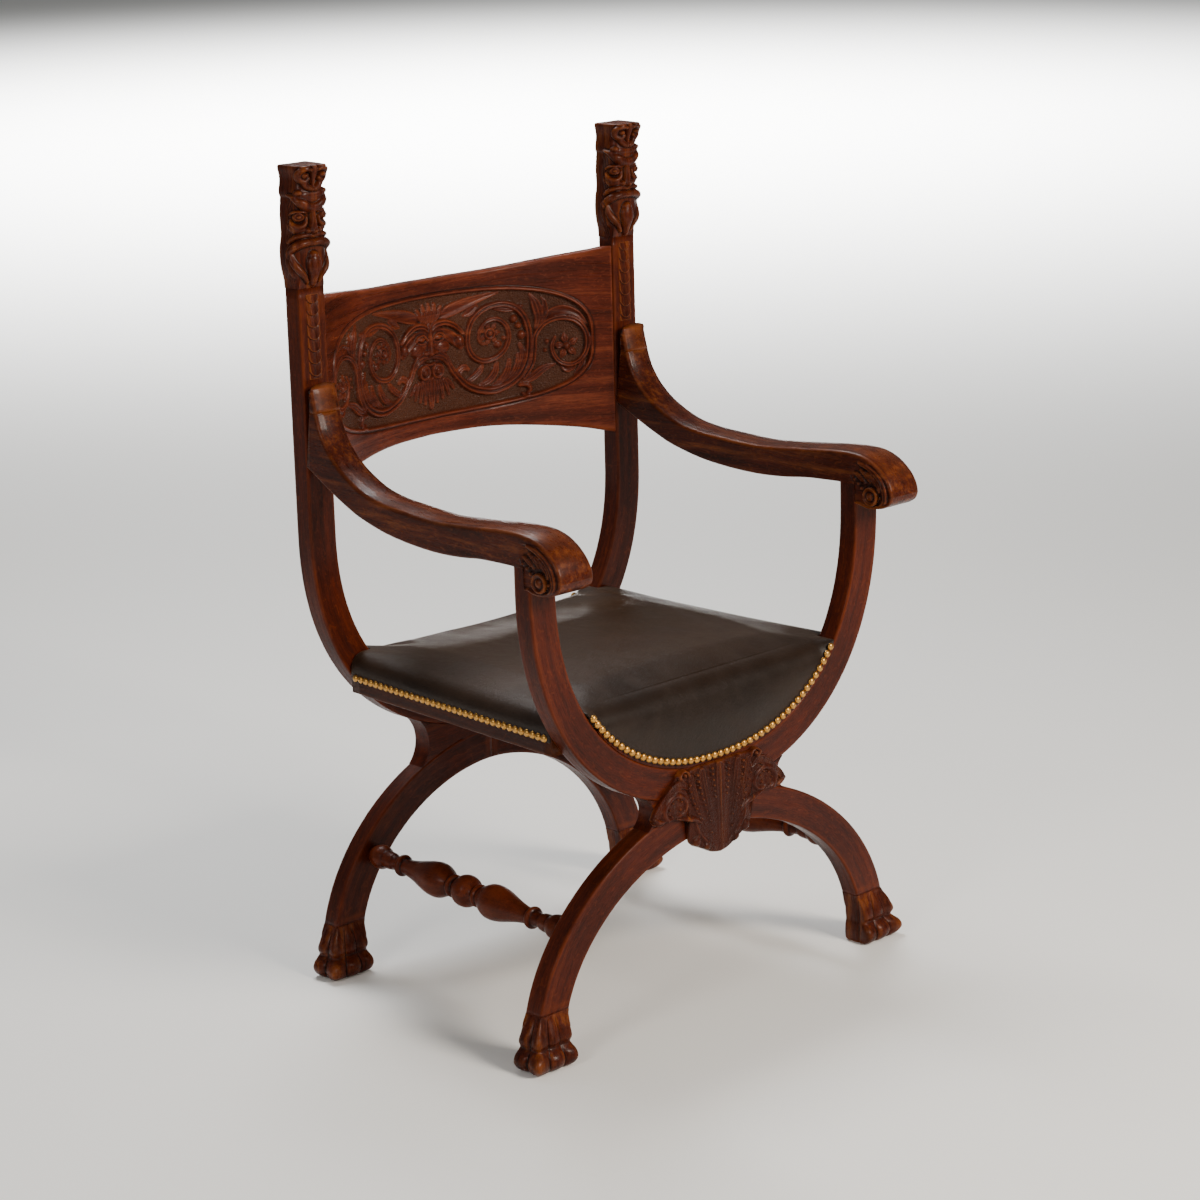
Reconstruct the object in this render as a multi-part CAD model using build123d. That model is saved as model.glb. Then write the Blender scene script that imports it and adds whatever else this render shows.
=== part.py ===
from build123d import *
import os
from math import acos, cos, hypot, pi, sin

# Carved oak Savonarola armchair, in millimetres. +Z is up and the chair faces -Y.
# Left (-X) and right (+X) are as seen by somebody who faces the chair.
# The origin is on the floor, at the bottom centre of the whole chair.

# ---------------------------------------------------------------- driving dimensions
BOARD = 29.0             # thickness of both frames, front to back
MEMBER = 43.0            # width of bows and posts in the plane of the frame
FRAME_PITCH = 444.0      # front face of the front frame to front face of the rear frame

FRONT_HALF = 320.0       # half width over the front bow
REAR_HALF = 305.0        # half width over the rear bow and back posts
BOW_SPRING_Z = 625.0     # height where the bow turns into straight posts
FRONT_BOW_BOTTOM_Z = 293.0
REAR_BOW_BOTTOM_Z = 307.0
BOW_POWER = 2.21         # superellipse power of the bows

ARCH_TOP_Z = 293.0       # crown of the arches, outside
ARCH_CROWN = 46.0        # depth of the arch members at the crown
ARCH_SPRING_Z = 29.0     # height where the arches stand upright
ARCH_POWER = 1.89        # superellipse power of the arches
FRONT_LEG_OUTER = 331.0  # half width over the front legs, at their foot
REAR_LEG_OUTER = 299.0
LEG_FOOT = 48.5          # width of a leg at its foot
PAW_TOP_Z = 72.0         # joint between leg and paw

HEAD_BASE_Z = 955.0      # joint between back post and finial
HEAD_TOP_Z = 1116.0
CAP_HEIGHT = 17.0
CAP_WIDTH = 54.0
CAP_FRONT = 14.0         # cap stands this far in front of the post

WEB_HALF = 132.0         # half width of the solid web at the crossing
WEB_HOLLOW = 16.0        # depth of the hollowed side of the web
WEB_LAP = 1.0            # the web's corners reach this far into bow and arch
KEY_HALF = 55.0          # half width of the key let into bow and arch
KEY_DEPTH = 20.0

PANEL_SETBACK = 2.0      # back board behind the faces of the posts, at its ends
PANEL_SAG = 92.0         # how far the board curves back between the posts
PANEL_THICK = 18.0
PANEL_END_TOP_Z = 944.0
PANEL_MID_TOP_Z = 920.0
PANEL_END_BOTTOM_Z = 674.0
PANEL_MID_BOTTOM_Z = 702.0
FIELD_HALF = 246.0       # sunk oval field, half width across the chair
FIELD_HALF_HEIGHT = 89.0
FIELD_Z = 813.0
FIELD_POWER = 3.0
FIELD_DEPTH = 5.0
BORDER = 7.0             # width of the raised border of the field
PANEL_TENON = 14.0

ARM_SEAT_Z = 660.0       # top of the front posts, where the arms rest
ARM_OVERHANG = 10.0      # arm's outer side outside the front post
ARM_WIDTH_BACK = 43.0
ARM_WIDTH_FRONT = 56.0
ARM_RISE = 43.0          # top of the arm above its seat on the front post
SHOULDER_Z = 794.0       # joint line between arm and shoulder block
SHOULDER_TOP_Z = 829.0
SHOULDER_THICK = 15.0
ARM_END_LOW_Z = 718.0    # underside of the arm where it meets the back post
SCROLL_REACH = 66.0      # scroll in front of the front frame
ROSETTE_RADIUS = 13.0
ROSETTE_PROUD = 5.0
ROSETTE_Y = -30.0        # centre of the scroll, from the front face of the frame
ROSETTE_Z = 647.0
SCROLL_DEPTH = 18.0      # underside of the scroll below the centre of the rosettes

STRETCHER_Z = 161.0
STRETCHER_TENON = 9.0    # tenon radius
STRETCHER_NECK = 10.5    # radius of the turned part where it meets a leg
TENON_DEPTH = 18.0

RAIL_TOP_Z = 426.0
RAIL_HEIGHT = 28.0
RAIL_THICK = 20.0
RAIL_INSET = 3.0         # face of the side rail inside the outer edge of the bow
RAIL_TENON = 12.0
RAIL_TENON_THICK = 12.0
CORNER_LEG = 42.0
CORNER_DROP = 4.0        # corner blocks stay this far under the rails' top

WEBBING_WIDTH = 50.0
WEBBING_THICK = 2.0
BURLAP_THICK = 1.0
SEAT_TOP_Z = 456.0       # top of the leather along the seat's edges
SEAT_EDGE = 12.0         # rounding of the seat's long edges
SKIRT_DROP = 10.0        # leather reaches this far below the top of the side rails
LEATHER = 1.8
STRAPS_ACROSS, STRAPS_ALONG = 5, 4
STRAP_SPACING = 95.0
STRAP_INSET = 6.0        # ends of the straps inside the faces of rails and frames
SKIRT_MARGIN = 4.0       # edge of the leather above the curve of the bow
SOFT_GAP = 0.3

NAIL_RADIUS = 5.4
NAIL_HEIGHT = 3.6
NAIL_PITCH = 11.2
NAIL_MARGIN = 10.0       # middle of a nail from the edge of the leather
SIDE_NAIL_DROP = 5.0     # side nails below the top of the side rails

SCALE_COUNT = 7
SCALE_PITCH = 16.0
SCALE_WIDTH = 21.0
SCALE_STRIP_TOP_Z = 947.0
SCALE_GROOVE = 3.0

PAW_OUT = 14.0           # paw wider than the leg, at its outer side
PAW_TOES = 4
TOE_RADIUS = 13.0
TOE_Z = 15.0
KNUCKLE_RADIUS = 11.0
KNUCKLE_Z = 44.0

CARTOUCHE_HALF = 126.0
CARTOUCHE_RISE = 45.0    # top of the cartouche above the crown of the arch
CARTOUCHE_DROP = 82.0    # its tip below the crown of the arch
CARTOUCHE_THICK = 9.0

DOWEL_RADIUS = 5.0
DOWEL_LENGTH = 40.0
DOWEL_CLEARANCE = 0.1
SCREW_RADIUS = 2.5
PLUG_RADIUS = 6.0
PLUG_DEPTH = 8.0
PLUG_CLEARANCE = 0.01

# ---------------------------------------------------------------- derived places
BACK_REACH = FRAME_PITCH + PANEL_SETBACK + PANEL_SAG + PANEL_THICK
FRONT_Y = (SCROLL_REACH - BACK_REACH) / 2        # front face of the front frame
REAR_Y = FRONT_Y + FRAME_PITCH                   # front face of the rear frame
POST_INNER = REAR_HALF - MEMBER
POST_X = REAR_HALF - MEMBER / 2
RAIL_MID_Z = RAIL_TOP_Z - RAIL_HEIGHT / 2
BURLAP_Z = RAIL_TOP_Z + 2 * WEBBING_THICK + 2 * SOFT_GAP
PAD_Z = BURLAP_Z + BURLAP_THICK + SOFT_GAP
PAD_TOP_Z = SEAT_TOP_Z - LEATHER - SOFT_GAP
EAST, NORTH, UP = (1, 0, 0), (0, 1, 0), (0, 0, 1)

parts = {}


# ---------------------------------------------------------------- helpers
def outline_face(lines):
    """Flat face inside a closed outline of lines, polylines and splines."""
    return Face(Wire([edge for line in lines for edge in line.edges()]))


def slab(lines, y, depth):
    """Solid of a closed outline drawn in the XZ plane, from y on, extruded towards +Y."""
    return extrude(outline_face(lines).moved(Location((0, y, 0))), amount=depth, dir=NORTH)


def plan(points, z, height):
    """Straight-sided solid drawn in plan, extruded upwards."""
    corners = [(x, y, z) for x, y in points]
    return extrude(outline_face([Polyline(*corners, close=True)]), amount=height, dir=UP)


def block(x0, x1, y0, y1, z0, z1):
    """Box given by its limits."""
    size = (x1 - x0, y1 - y0, z1 - z0)
    return Location(((x0 + x1) / 2, (y0 + y1) / 2, (z0 + z1) / 2)) * Box(*size)


def rod(start, end, radius):
    """Round bar from start to end."""
    a, b = Vector(start), Vector(end)
    return extrude(Plane(a, z_dir=b - a) * Circle(radius), amount=(b - a).length)


def mirrored(solid):
    return mirror(solid, about=Plane.YZ)


def pair(name, solid):
    """The right-hand solid and its mirror image, as two nodes."""
    parts[name + "_right"] = solid
    parts[name + "_left"] = mirrored(solid)


def both(solid):
    """The right-hand solid and its mirror image, as one group."""
    return solids_of(solid) + solids_of(mirrored(solid))


def solids_of(shape):
    return list(shape.solids())


def superellipse_x(height, half, drop, power):
    """Half width of a superellipse at a height above or below its widest level."""
    return half * (1 - min(1, abs(height) / drop) ** power) ** (1 / power)


def superellipse_z(x, half, drop, power):
    """Distance of the curve from its widest level, at x."""
    return drop * (1 - min(1, abs(x) / half) ** power) ** (1 / power)


def quarter(half, drop, power, z, sign, last=pi / 2, count=9):
    """Points of a quarter superellipse from its crown (x = 0) towards its widest level z.
    sign is -1 for a bow, which hangs below z, and 1 for an arch."""
    turns = [last * i / (count - 1) for i in range(count)]
    return [(half * sin(t) ** (2 / power), 0, z + sign * drop * cos(t) ** (2 / power)) for t in turns]


# ---------------------------------------------------------------- bows and posts
def bow(half, bottom_z, y, top_z):
    """Right half of a bow with its post: outer and inner superellipse, then straight up."""
    drop = BOW_SPRING_Z - bottom_z
    outer = quarter(half, drop, BOW_POWER, BOW_SPRING_Z, -1)
    inner = quarter(half - MEMBER, drop - MEMBER, BOW_POWER, BOW_SPRING_Z, -1)
    sides = [EAST, UP]
    edges = [
        Spline(*outer, tangents=sides),
        Polyline(outer[-1], (half, 0, top_z), (half - MEMBER, 0, top_z), inner[-1]),
        Spline(*inner, tangents=sides),
        Line(inner[0], outer[0]),
    ]
    return slab(edges, y, BOARD)


def bow_outer_x(z, half, bottom_z):
    return superellipse_x(BOW_SPRING_Z - z, half, BOW_SPRING_Z - bottom_z, BOW_POWER)


# ---------------------------------------------------------------- arches
def arch(outer, y):
    """Right half of an arch, from the crown down to the joint with the paw."""
    rise = ARCH_TOP_Z - ARCH_SPRING_Z
    inside, inside_rise = outer - LEG_FOOT, rise - ARCH_CROWN
    foot = PAW_TOP_Z - ARCH_SPRING_Z
    last_outer = acos((foot / rise) ** (ARCH_POWER / 2))
    last_inner = acos((foot / inside_rise) ** (ARCH_POWER / 2))
    top = quarter(outer, rise, ARCH_POWER, ARCH_SPRING_Z, 1, last_outer)
    under = quarter(inside, inside_rise, ARCH_POWER, ARCH_SPRING_Z, 1, last_inner)
    edges = [Spline(*top), Line(top[-1], under[-1]), Spline(*under), Line(under[0], top[0])]
    return slab(edges, y, BOARD)


def leg_sides(z, outer):
    """Inner and outer side of a leg across the chair, at a height."""
    rise = ARCH_TOP_Z - ARCH_SPRING_Z
    height = z - ARCH_SPRING_Z
    inn = superellipse_x(height, outer - LEG_FOOT, rise - ARCH_CROWN, ARCH_POWER)
    return inn, superellipse_x(height, outer, rise, ARCH_POWER)


def leg_middle(z, outer):
    return sum(leg_sides(z, outer)) / 2


def crossing(half, bow_bottom_z, outer, y):
    """Web between the bow and the arch, with the key that is let into both."""
    drop = BOW_SPRING_Z - bow_bottom_z
    rise = ARCH_TOP_Z - ARCH_SPRING_Z
    top_z = BOW_SPRING_Z - superellipse_z(WEB_HALF, half, drop, BOW_POWER) + WEB_LAP
    low_z = ARCH_SPRING_Z + superellipse_z(WEB_HALF, outer, rise, ARCH_POWER) - WEB_LAP
    middle_z = (top_z + low_z) / 2
    inset = WEB_HALF - WEB_HOLLOW
    edges = [
        Line((-WEB_HALF, 0, top_z), (WEB_HALF, 0, top_z)),
        ThreePointArc((WEB_HALF, 0, top_z), (inset, 0, middle_z), (WEB_HALF, 0, low_z)),
        Line((WEB_HALF, 0, low_z), (-WEB_HALF, 0, low_z)),
        ThreePointArc((-WEB_HALF, 0, low_z), (-inset, 0, middle_z), (-WEB_HALF, 0, top_z)),
    ]
    inside = block(-KEY_HALF * 0.6, KEY_HALF * 0.6, y, y + BOARD, ARCH_SPRING_Z, BOW_SPRING_Z)
    web = slab(edges, y, BOARD) - inside
    right_bow = bow(half, bow_bottom_z, y, BOW_SPRING_Z + MEMBER)
    right_arch = arch(outer, y)
    web = web - right_bow - mirrored(right_bow) - right_arch - mirrored(right_arch)
    key = block(-KEY_HALF, KEY_HALF, y, y + BOARD, ARCH_TOP_Z - KEY_DEPTH, bow_bottom_z + KEY_DEPTH)
    return web + key, key


# ---------------------------------------------------------------- dowels
dowels = {"bow_dowels": [], "arch_dowels": [], "paw_dowels": [], "finial_dowels": [], "arm_dowels": []}


def dowel(group, start, direction):
    """Adds a dowel to its group and returns the hole that it needs."""
    a, d = Vector(start), Vector(direction)
    dowels[group].append(rod(a, a + d * DOWEL_LENGTH, DOWEL_RADIUS))
    return rod(a - d, a + d * (DOWEL_LENGTH + 1), DOWEL_RADIUS + DOWEL_CLEARANCE)


# ---------------------------------------------------------------- the two frames
def frame(side, half, bow_bottom_z, outer, y, post_top_z):
    middle_y = y + BOARD / 2
    right_bow = bow(half, bow_bottom_z, y, post_top_z)
    right_arch = arch(outer, y)
    web, key = crossing(half, bow_bottom_z, outer, y)
    right_bow -= key
    right_arch -= key
    bow_z = bow_bottom_z + KEY_DEPTH + (MEMBER - KEY_DEPTH) / 2
    arch_z = ARCH_TOP_Z - ARCH_CROWN + (ARCH_CROWN - KEY_DEPTH) / 2
    right_bow -= dowel("bow_dowels", (-DOWEL_LENGTH / 2, middle_y, bow_z), EAST)
    right_arch -= dowel("arch_dowels", (-DOWEL_LENGTH / 2, middle_y, arch_z), EAST)
    parts[side + "_crossing_block"] = web
    return right_bow, right_arch


front_bow, front_arch = frame("front", FRONT_HALF, FRONT_BOW_BOTTOM_Z, FRONT_LEG_OUTER, FRONT_Y, ARM_SEAT_Z)
rear_bow, rear_arch = frame("rear", REAR_HALF, REAR_BOW_BOTTOM_Z, REAR_LEG_OUTER, REAR_Y, HEAD_BASE_Z)


# ---------------------------------------------------------------- paws
def paw(outer, y):
    """Lion's paw: an ankle under the leg, a foot and knuckles, and two tiers of rounded toes."""
    inner = outer - LEG_FOOT
    top_inn, top_out = leg_sides(PAW_TOP_Z, outer)
    corners = [(inner, 0), (outer, 0), (outer, KNUCKLE_Z)]
    corners += [(top_out, PAW_TOP_Z), (top_inn, PAW_TOP_Z), (inner, KNUCKLE_Z)]
    ankle = slab([Polyline(*[(x, 0, z) for x, z in corners], close=True)], y, BOARD)
    foot = block(inner, outer + PAW_OUT, y - TOE_RADIUS * 0.6, y + BOARD, 0, TOE_Z + TOE_RADIUS * 1.4)
    foot = fillet(foot.edges().filter_by(Axis.Z), TOE_RADIUS / 2)
    sides, faces = (inner + 1, outer + PAW_OUT / 2), (y - KNUCKLE_RADIUS / 2, y + BOARD - 1)
    knuckles = block(*sides, *faces, TOE_Z, KNUCKLE_Z + KNUCKLE_RADIUS * 1.4)
    knuckles = fillet(knuckles.edges().filter_by(Axis.Z), KNUCKLE_RADIUS / 2)
    toes = foot + knuckles
    span = LEG_FOOT + PAW_OUT + 4
    for i in range(PAW_TOES):
        x = inner + span * (i + 0.5) / PAW_TOES
        toes += Location((x, y - TOE_RADIUS / 2, TOE_Z)) * Sphere(TOE_RADIUS)
        toes += Location((x - 2, y - 1, KNUCKLE_Z)) * Sphere(KNUCKLE_RADIUS)
    for z, radius in ((TOE_Z, TOE_RADIUS), (KNUCKLE_Z - 1, KNUCKLE_RADIUS)):
        toes += Location((outer + PAW_OUT + 2, y + BOARD / 2, z)) * Sphere(radius)
    reach = PAW_OUT + 2 + TOE_RADIUS
    return ankle + (toes & block(inner, outer + reach, y - TOE_RADIUS * 1.5, y + BOARD, 0, PAW_TOP_Z))


for side, outer, y in (("front", FRONT_LEG_OUTER, FRONT_Y), ("rear", REAR_LEG_OUTER, REAR_Y)):
    right_paw = paw(outer, y)
    middle = leg_middle(PAW_TOP_Z, outer)
    hole = dowel("paw_dowels", (middle, y + BOARD / 2, PAW_TOP_Z - DOWEL_LENGTH / 2), UP)
    if side == "front":
        front_arch -= hole
    else:
        rear_arch -= hole
    pair("paw_" + side, right_paw - hole)


# ---------------------------------------------------------------- side stretchers
def stretcher():
    """Turned stretcher between the front and rear right legs: ball, two balusters and rings."""
    start = Vector(leg_middle(STRETCHER_Z, FRONT_LEG_OUTER), FRONT_Y + BOARD, STRETCHER_Z)
    end = Vector(leg_middle(STRETCHER_Z, REAR_LEG_OUTER), REAR_Y, STRETCHER_Z)
    length = (end - start).length
    middle = length / 2
    # (distance from the middle, radius): ball, cove, rings, baluster, neck, ring, cove
    half = [(0, 22), (9, 20), (17, 12), (24, 12.5), (27, 15), (31, 14), (36, 15), (52, 23), (64, 24),
            (90, 19), (118, 13), (132, 11), (137, 14.5), (143, 14.5), (148, 10.5), (156, 9.5), (163, 12)]
    ball_end = middle - 4
    half += [(middle - 32, 12), (middle - 26, 15.5), (middle - 16, 16.5), (ball_end, 12.5)]
    half += [(middle, STRETCHER_NECK)]
    outline = [(-a, r) for a, r in reversed(half)] + half[1:]
    curve = Spline(*[(a + middle, r) for a, r in outline])
    past = [(length, STRETCHER_NECK), (length + 1, STRETCHER_NECK), (length + 1, 0)]
    ends = Polyline(*past, *[(length - a, r) for a, r in reversed(past)])
    section = outline_face([curve, ends])
    turned = revolve(section, Axis.X)
    between_legs = block(-FRONT_HALF, FRONT_HALF, FRONT_Y + BOARD, REAR_Y, 0, BOW_SPRING_Z)
    tenons = rod((-TENON_DEPTH, 0, 0), (length + TENON_DEPTH, 0, 0), STRETCHER_TENON)
    place = Plane(start, x_dir=end - start, z_dir=UP).location
    hole = rod((-TENON_DEPTH - 1, 0, 0), (length + TENON_DEPTH + 1, 0, 0), STRETCHER_TENON + DOWEL_CLEARANCE)
    return (place * turned & between_legs) + place * tenons, place * hole


right_stretcher, stretcher_holes = stretcher()
front_arch -= stretcher_holes
rear_arch -= stretcher_holes
pair("side_stretcher", right_stretcher)


# ---------------------------------------------------------------- seat rails
INNER_Y0, INNER_Y1 = FRONT_Y + BOARD, REAR_Y
RAIL_FRONT_X = bow_outer_x(RAIL_TOP_Z, FRONT_HALF, FRONT_BOW_BOTTOM_Z) - RAIL_INSET
RAIL_REAR_X = bow_outer_x(RAIL_TOP_Z, REAR_HALF, REAR_BOW_BOTTOM_Z) - RAIL_INSET


def rail_x(y):
    """Outer face of the right side rail at y."""
    return RAIL_FRONT_X + (RAIL_REAR_X - RAIL_FRONT_X) * (y - INNER_Y0) / (INNER_Y1 - INNER_Y0)


def side_rail():
    """Right side rail: a board that narrows with the frames, with a tenon in each bow."""
    corners = [(rail_x(INNER_Y0), INNER_Y0), (rail_x(INNER_Y1), INNER_Y1)]
    corners += [(x - RAIL_THICK, y) for x, y in reversed(corners)]
    board = plan(corners, RAIL_TOP_Z - RAIL_HEIGHT, RAIL_HEIGHT)
    tenons = []
    for y, sign in ((INNER_Y0, -1), (INNER_Y1, 1)):
        middle_x = rail_x(y) - RAIL_THICK / 2
        y0, y1 = sorted((y - sign, y + sign * RAIL_TENON))
        half = RAIL_TENON_THICK / 2
        sides = (middle_x - half / 2, middle_x + half / 2)
        tenons.append(block(*sides, y0, y1, RAIL_MID_Z - half, RAIL_MID_Z + half))
    return board, tenons


rail, rail_tenons = side_rail()
front_bow -= rail_tenons[0]
rear_bow -= rail_tenons[1]
pair("seat_rail", rail + rail_tenons[0] + rail_tenons[1])


def bow_filler(half, bottom_z, side_margin, low_margin, z_low, z_high, y0, y1):
    """What fits inside a bow between two heights, with margins to its inner edge."""
    drop = BOW_SPRING_Z - bottom_z - MEMBER - low_margin
    wide = half - MEMBER - side_margin
    curve = quarter(wide, drop, BOW_POWER, BOW_SPRING_Z, -1)
    edge = Spline(*curve, tangents=[EAST, UP])
    lid = Polyline(curve[-1], (-curve[-1][0], 0, curve[-1][2]))
    filled = slab([edge, lid, mirror(edge, about=Plane.YZ)], y0, y1 - y0)
    return filled & block(-half, half, y0, y1, z_low, z_high)


OPENINGS = (
    (FRONT_HALF, FRONT_BOW_BOTTOM_Z, FRONT_Y, -1),
    (REAR_HALF, REAR_BOW_BOTTOM_Z, REAR_Y, 1),
)
for name, (half, bottom_z, y, sign) in zip(("seat_rail_front", "seat_rail_rear"), OPENINGS):
    parts[name] = bow_filler(half, bottom_z, 0, 0, 0, RAIL_TOP_Z, y, y + BOARD)


def corner_block(y, sign):
    """Right-hand glue block in the corner between side rail and frame; sign points into the seat."""
    tip = y + sign * CORNER_LEG
    inside = rail_x(y) - RAIL_THICK
    corners = [(inside, y), (rail_x(tip) - RAIL_THICK, tip), (inside - CORNER_LEG, y)]
    return plan(corners, RAIL_TOP_Z - RAIL_HEIGHT, RAIL_HEIGHT - CORNER_DROP)


pair("corner_block_front", corner_block(FRONT_Y + BOARD, 1))
pair("corner_block_rear", corner_block(REAR_Y, -1))


# ---------------------------------------------------------------- seat: webbing, burlap, pad, leather
def seat_plan(grow, z, height, end_gap=0.0):
    """The seat between the frames: the outline over the side rails, grown by `grow`."""
    y0, y1 = INNER_Y0 + end_gap, INNER_Y1 - end_gap
    x0, x1 = rail_x(y0) + grow, rail_x(y1) + grow
    return plan([(-x0, y0), (x0, y0), (x1, y1), (-x1, y1)], z, height)


def seat_layer(z, thick, rail_margin):
    """A flat layer over the side rails and over both end rails."""
    layer = seat_plan(-rail_margin, z, thick, SOFT_GAP)
    for half, bottom_z, y, sign in OPENINGS:
        y0 = y + (rail_margin if sign < 0 else -2 * SOFT_GAP)
        y1 = y + BOARD + (2 * SOFT_GAP if sign < 0 else -rail_margin)
        layer += bow_filler(half, bottom_z, 1, 1, z, z + thick, y0, y1)
    return layer


def webbing():
    """Jute straps: five across on the side rails, four from front to back above them."""
    straps, half = [], WEBBING_WIDTH / 2
    for i in range(STRAPS_ACROSS):
        y = INNER_Y0 + (INNER_Y1 - INNER_Y0) * (i + 0.5) / STRAPS_ACROSS
        x = rail_x(y + half) - STRAP_INSET
        straps.append(block(-x, x, y - half, y + half, RAIL_TOP_Z, RAIL_TOP_Z + WEBBING_THICK))
    z = RAIL_TOP_Z + WEBBING_THICK + SOFT_GAP
    for i in range(STRAPS_ALONG):
        x = (i - (STRAPS_ALONG - 1) / 2) * STRAP_SPACING
        y0, y1 = FRONT_Y + STRAP_INSET, REAR_Y + BOARD - STRAP_INSET
        straps.append(block(x - half, x + half, y0, y1, z, z + WEBBING_THICK))
    return straps


def leather():
    """Cover: a top sheet with skirts down the side rails and down the faces of both end rails."""
    skirt_z = RAIL_TOP_Z - SKIRT_DROP
    lap = SOFT_GAP + LEATHER
    outside = seat_plan(lap, skirt_z, SEAT_TOP_Z - skirt_z, SOFT_GAP)
    long_edges = outside.edges().group_by(Axis.Z)[-1].filter_by(lambda e: abs((e % 0.5).Y) > 0.9)
    outside = fillet(long_edges, SEAT_EDGE)
    inside = seat_plan(SOFT_GAP, skirt_z - 1, SEAT_TOP_Z - LEATHER - skirt_z + 1)
    inside_edges = inside.edges().group_by(Axis.Z)[-1].filter_by(lambda e: abs((e % 0.5).Y) > 0.9)
    cover = outside - fillet(inside_edges, SEAT_EDGE - LEATHER)
    for half, bottom_z, y, sign in OPENINGS:
        y0 = y - lap if sign < 0 else y - 2 * SOFT_GAP
        y1 = y + BOARD + (2 * SOFT_GAP if sign < 0 else lap)
        cover += bow_filler(half, bottom_z, SOFT_GAP, SKIRT_MARGIN, SEAT_TOP_Z - LEATHER, SEAT_TOP_Z, y0, y1)
        skirt = (y0, y0 + LEATHER) if sign < 0 else (y1 - LEATHER, y1)
        cover += bow_filler(half, bottom_z, SOFT_GAP, SKIRT_MARGIN, 0, SEAT_TOP_Z, *skirt)
    return cover


parts["seat_webbing"] = webbing()
parts["seat_burlap"] = seat_layer(BURLAP_Z, BURLAP_THICK, 3)
pad = seat_layer(PAD_Z, PAD_TOP_Z - PAD_Z, 0)
long_side = (INNER_Y1 - INNER_Y0) / 2
top_edges = pad.edges().group_by(Axis.Z)[-1]
side_edges = top_edges.filter_by(lambda e: abs((e % 0.5).Y) > 0.9 and e.length > long_side)
parts["seat_pad"] = fillet(side_edges, SEAT_EDGE)
parts["seat_leather"] = leather()


# ---------------------------------------------------------------- upholstery nails
def nail():
    """Brass dome head, its flat side on the XY plane."""
    ball = (NAIL_RADIUS ** 2 + NAIL_HEIGHT ** 2) / (2 * NAIL_HEIGHT)
    dome = Location((0, 0, NAIL_HEIGHT - ball)) * Sphere(ball)
    return dome & block(-ball, ball, -ball, ball, 0, ball)


def bow_nails(half, bottom_z, y, sign):
    """A close row of nails just inside the bow, from one end of the seat's face to the other."""
    wide, drop = half - MEMBER - 2, BOW_SPRING_Z - bottom_z - MEMBER - NAIL_MARGIN
    last_x = superellipse_x(BOW_SPRING_Z - SEAT_TOP_Z + NAIL_MARGIN, wide, drop, BOW_POWER)
    steps = 2000
    spots, travelled, before = [], NAIL_PITCH / 2, None
    for i in range(steps + 1):
        x = last_x * i / steps
        z = BOW_SPRING_Z - superellipse_z(x, wide, drop, BOW_POWER)
        if before:
            travelled += hypot(x - before[0], z - before[1])
        if travelled >= NAIL_PITCH:
            spots += [(x, z), (-x, z)]
            travelled -= NAIL_PITCH
        before = (x, z)
    face_y = y - SOFT_GAP - LEATHER if sign < 0 else y + BOARD + SOFT_GAP + LEATHER
    return [Plane((x, face_y, z), z_dir=(0, sign, 0)).location * nail() for x, z in spots]


def side_nails():
    """Right-hand row of nails along the side rail."""
    start = Vector(rail_x(INNER_Y0), INNER_Y0, RAIL_TOP_Z - SIDE_NAIL_DROP)
    end = Vector(rail_x(INNER_Y1), INNER_Y1, RAIL_TOP_Z - SIDE_NAIL_DROP)
    run = end - start
    out = run.cross(Vector(UP)).normalized()
    count = int((run.length - NAIL_PITCH) / NAIL_PITCH)
    first = (run.length - (count - 1) * NAIL_PITCH) / 2
    on_leather = start + Vector(SOFT_GAP + LEATHER, 0, 0)
    spots = [on_leather + run.normalized() * (first + i * NAIL_PITCH) for i in range(count)]
    return [Plane(spot, z_dir=out).location * nail() for spot in spots]


parts["nails_front"] = bow_nails(*OPENINGS[0])
parts["nails_rear"] = bow_nails(*OPENINGS[1])
right_nails = side_nails()
parts["nails_right"] = right_nails
parts["nails_left"] = [mirrored(one) for one in right_nails]


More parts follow.
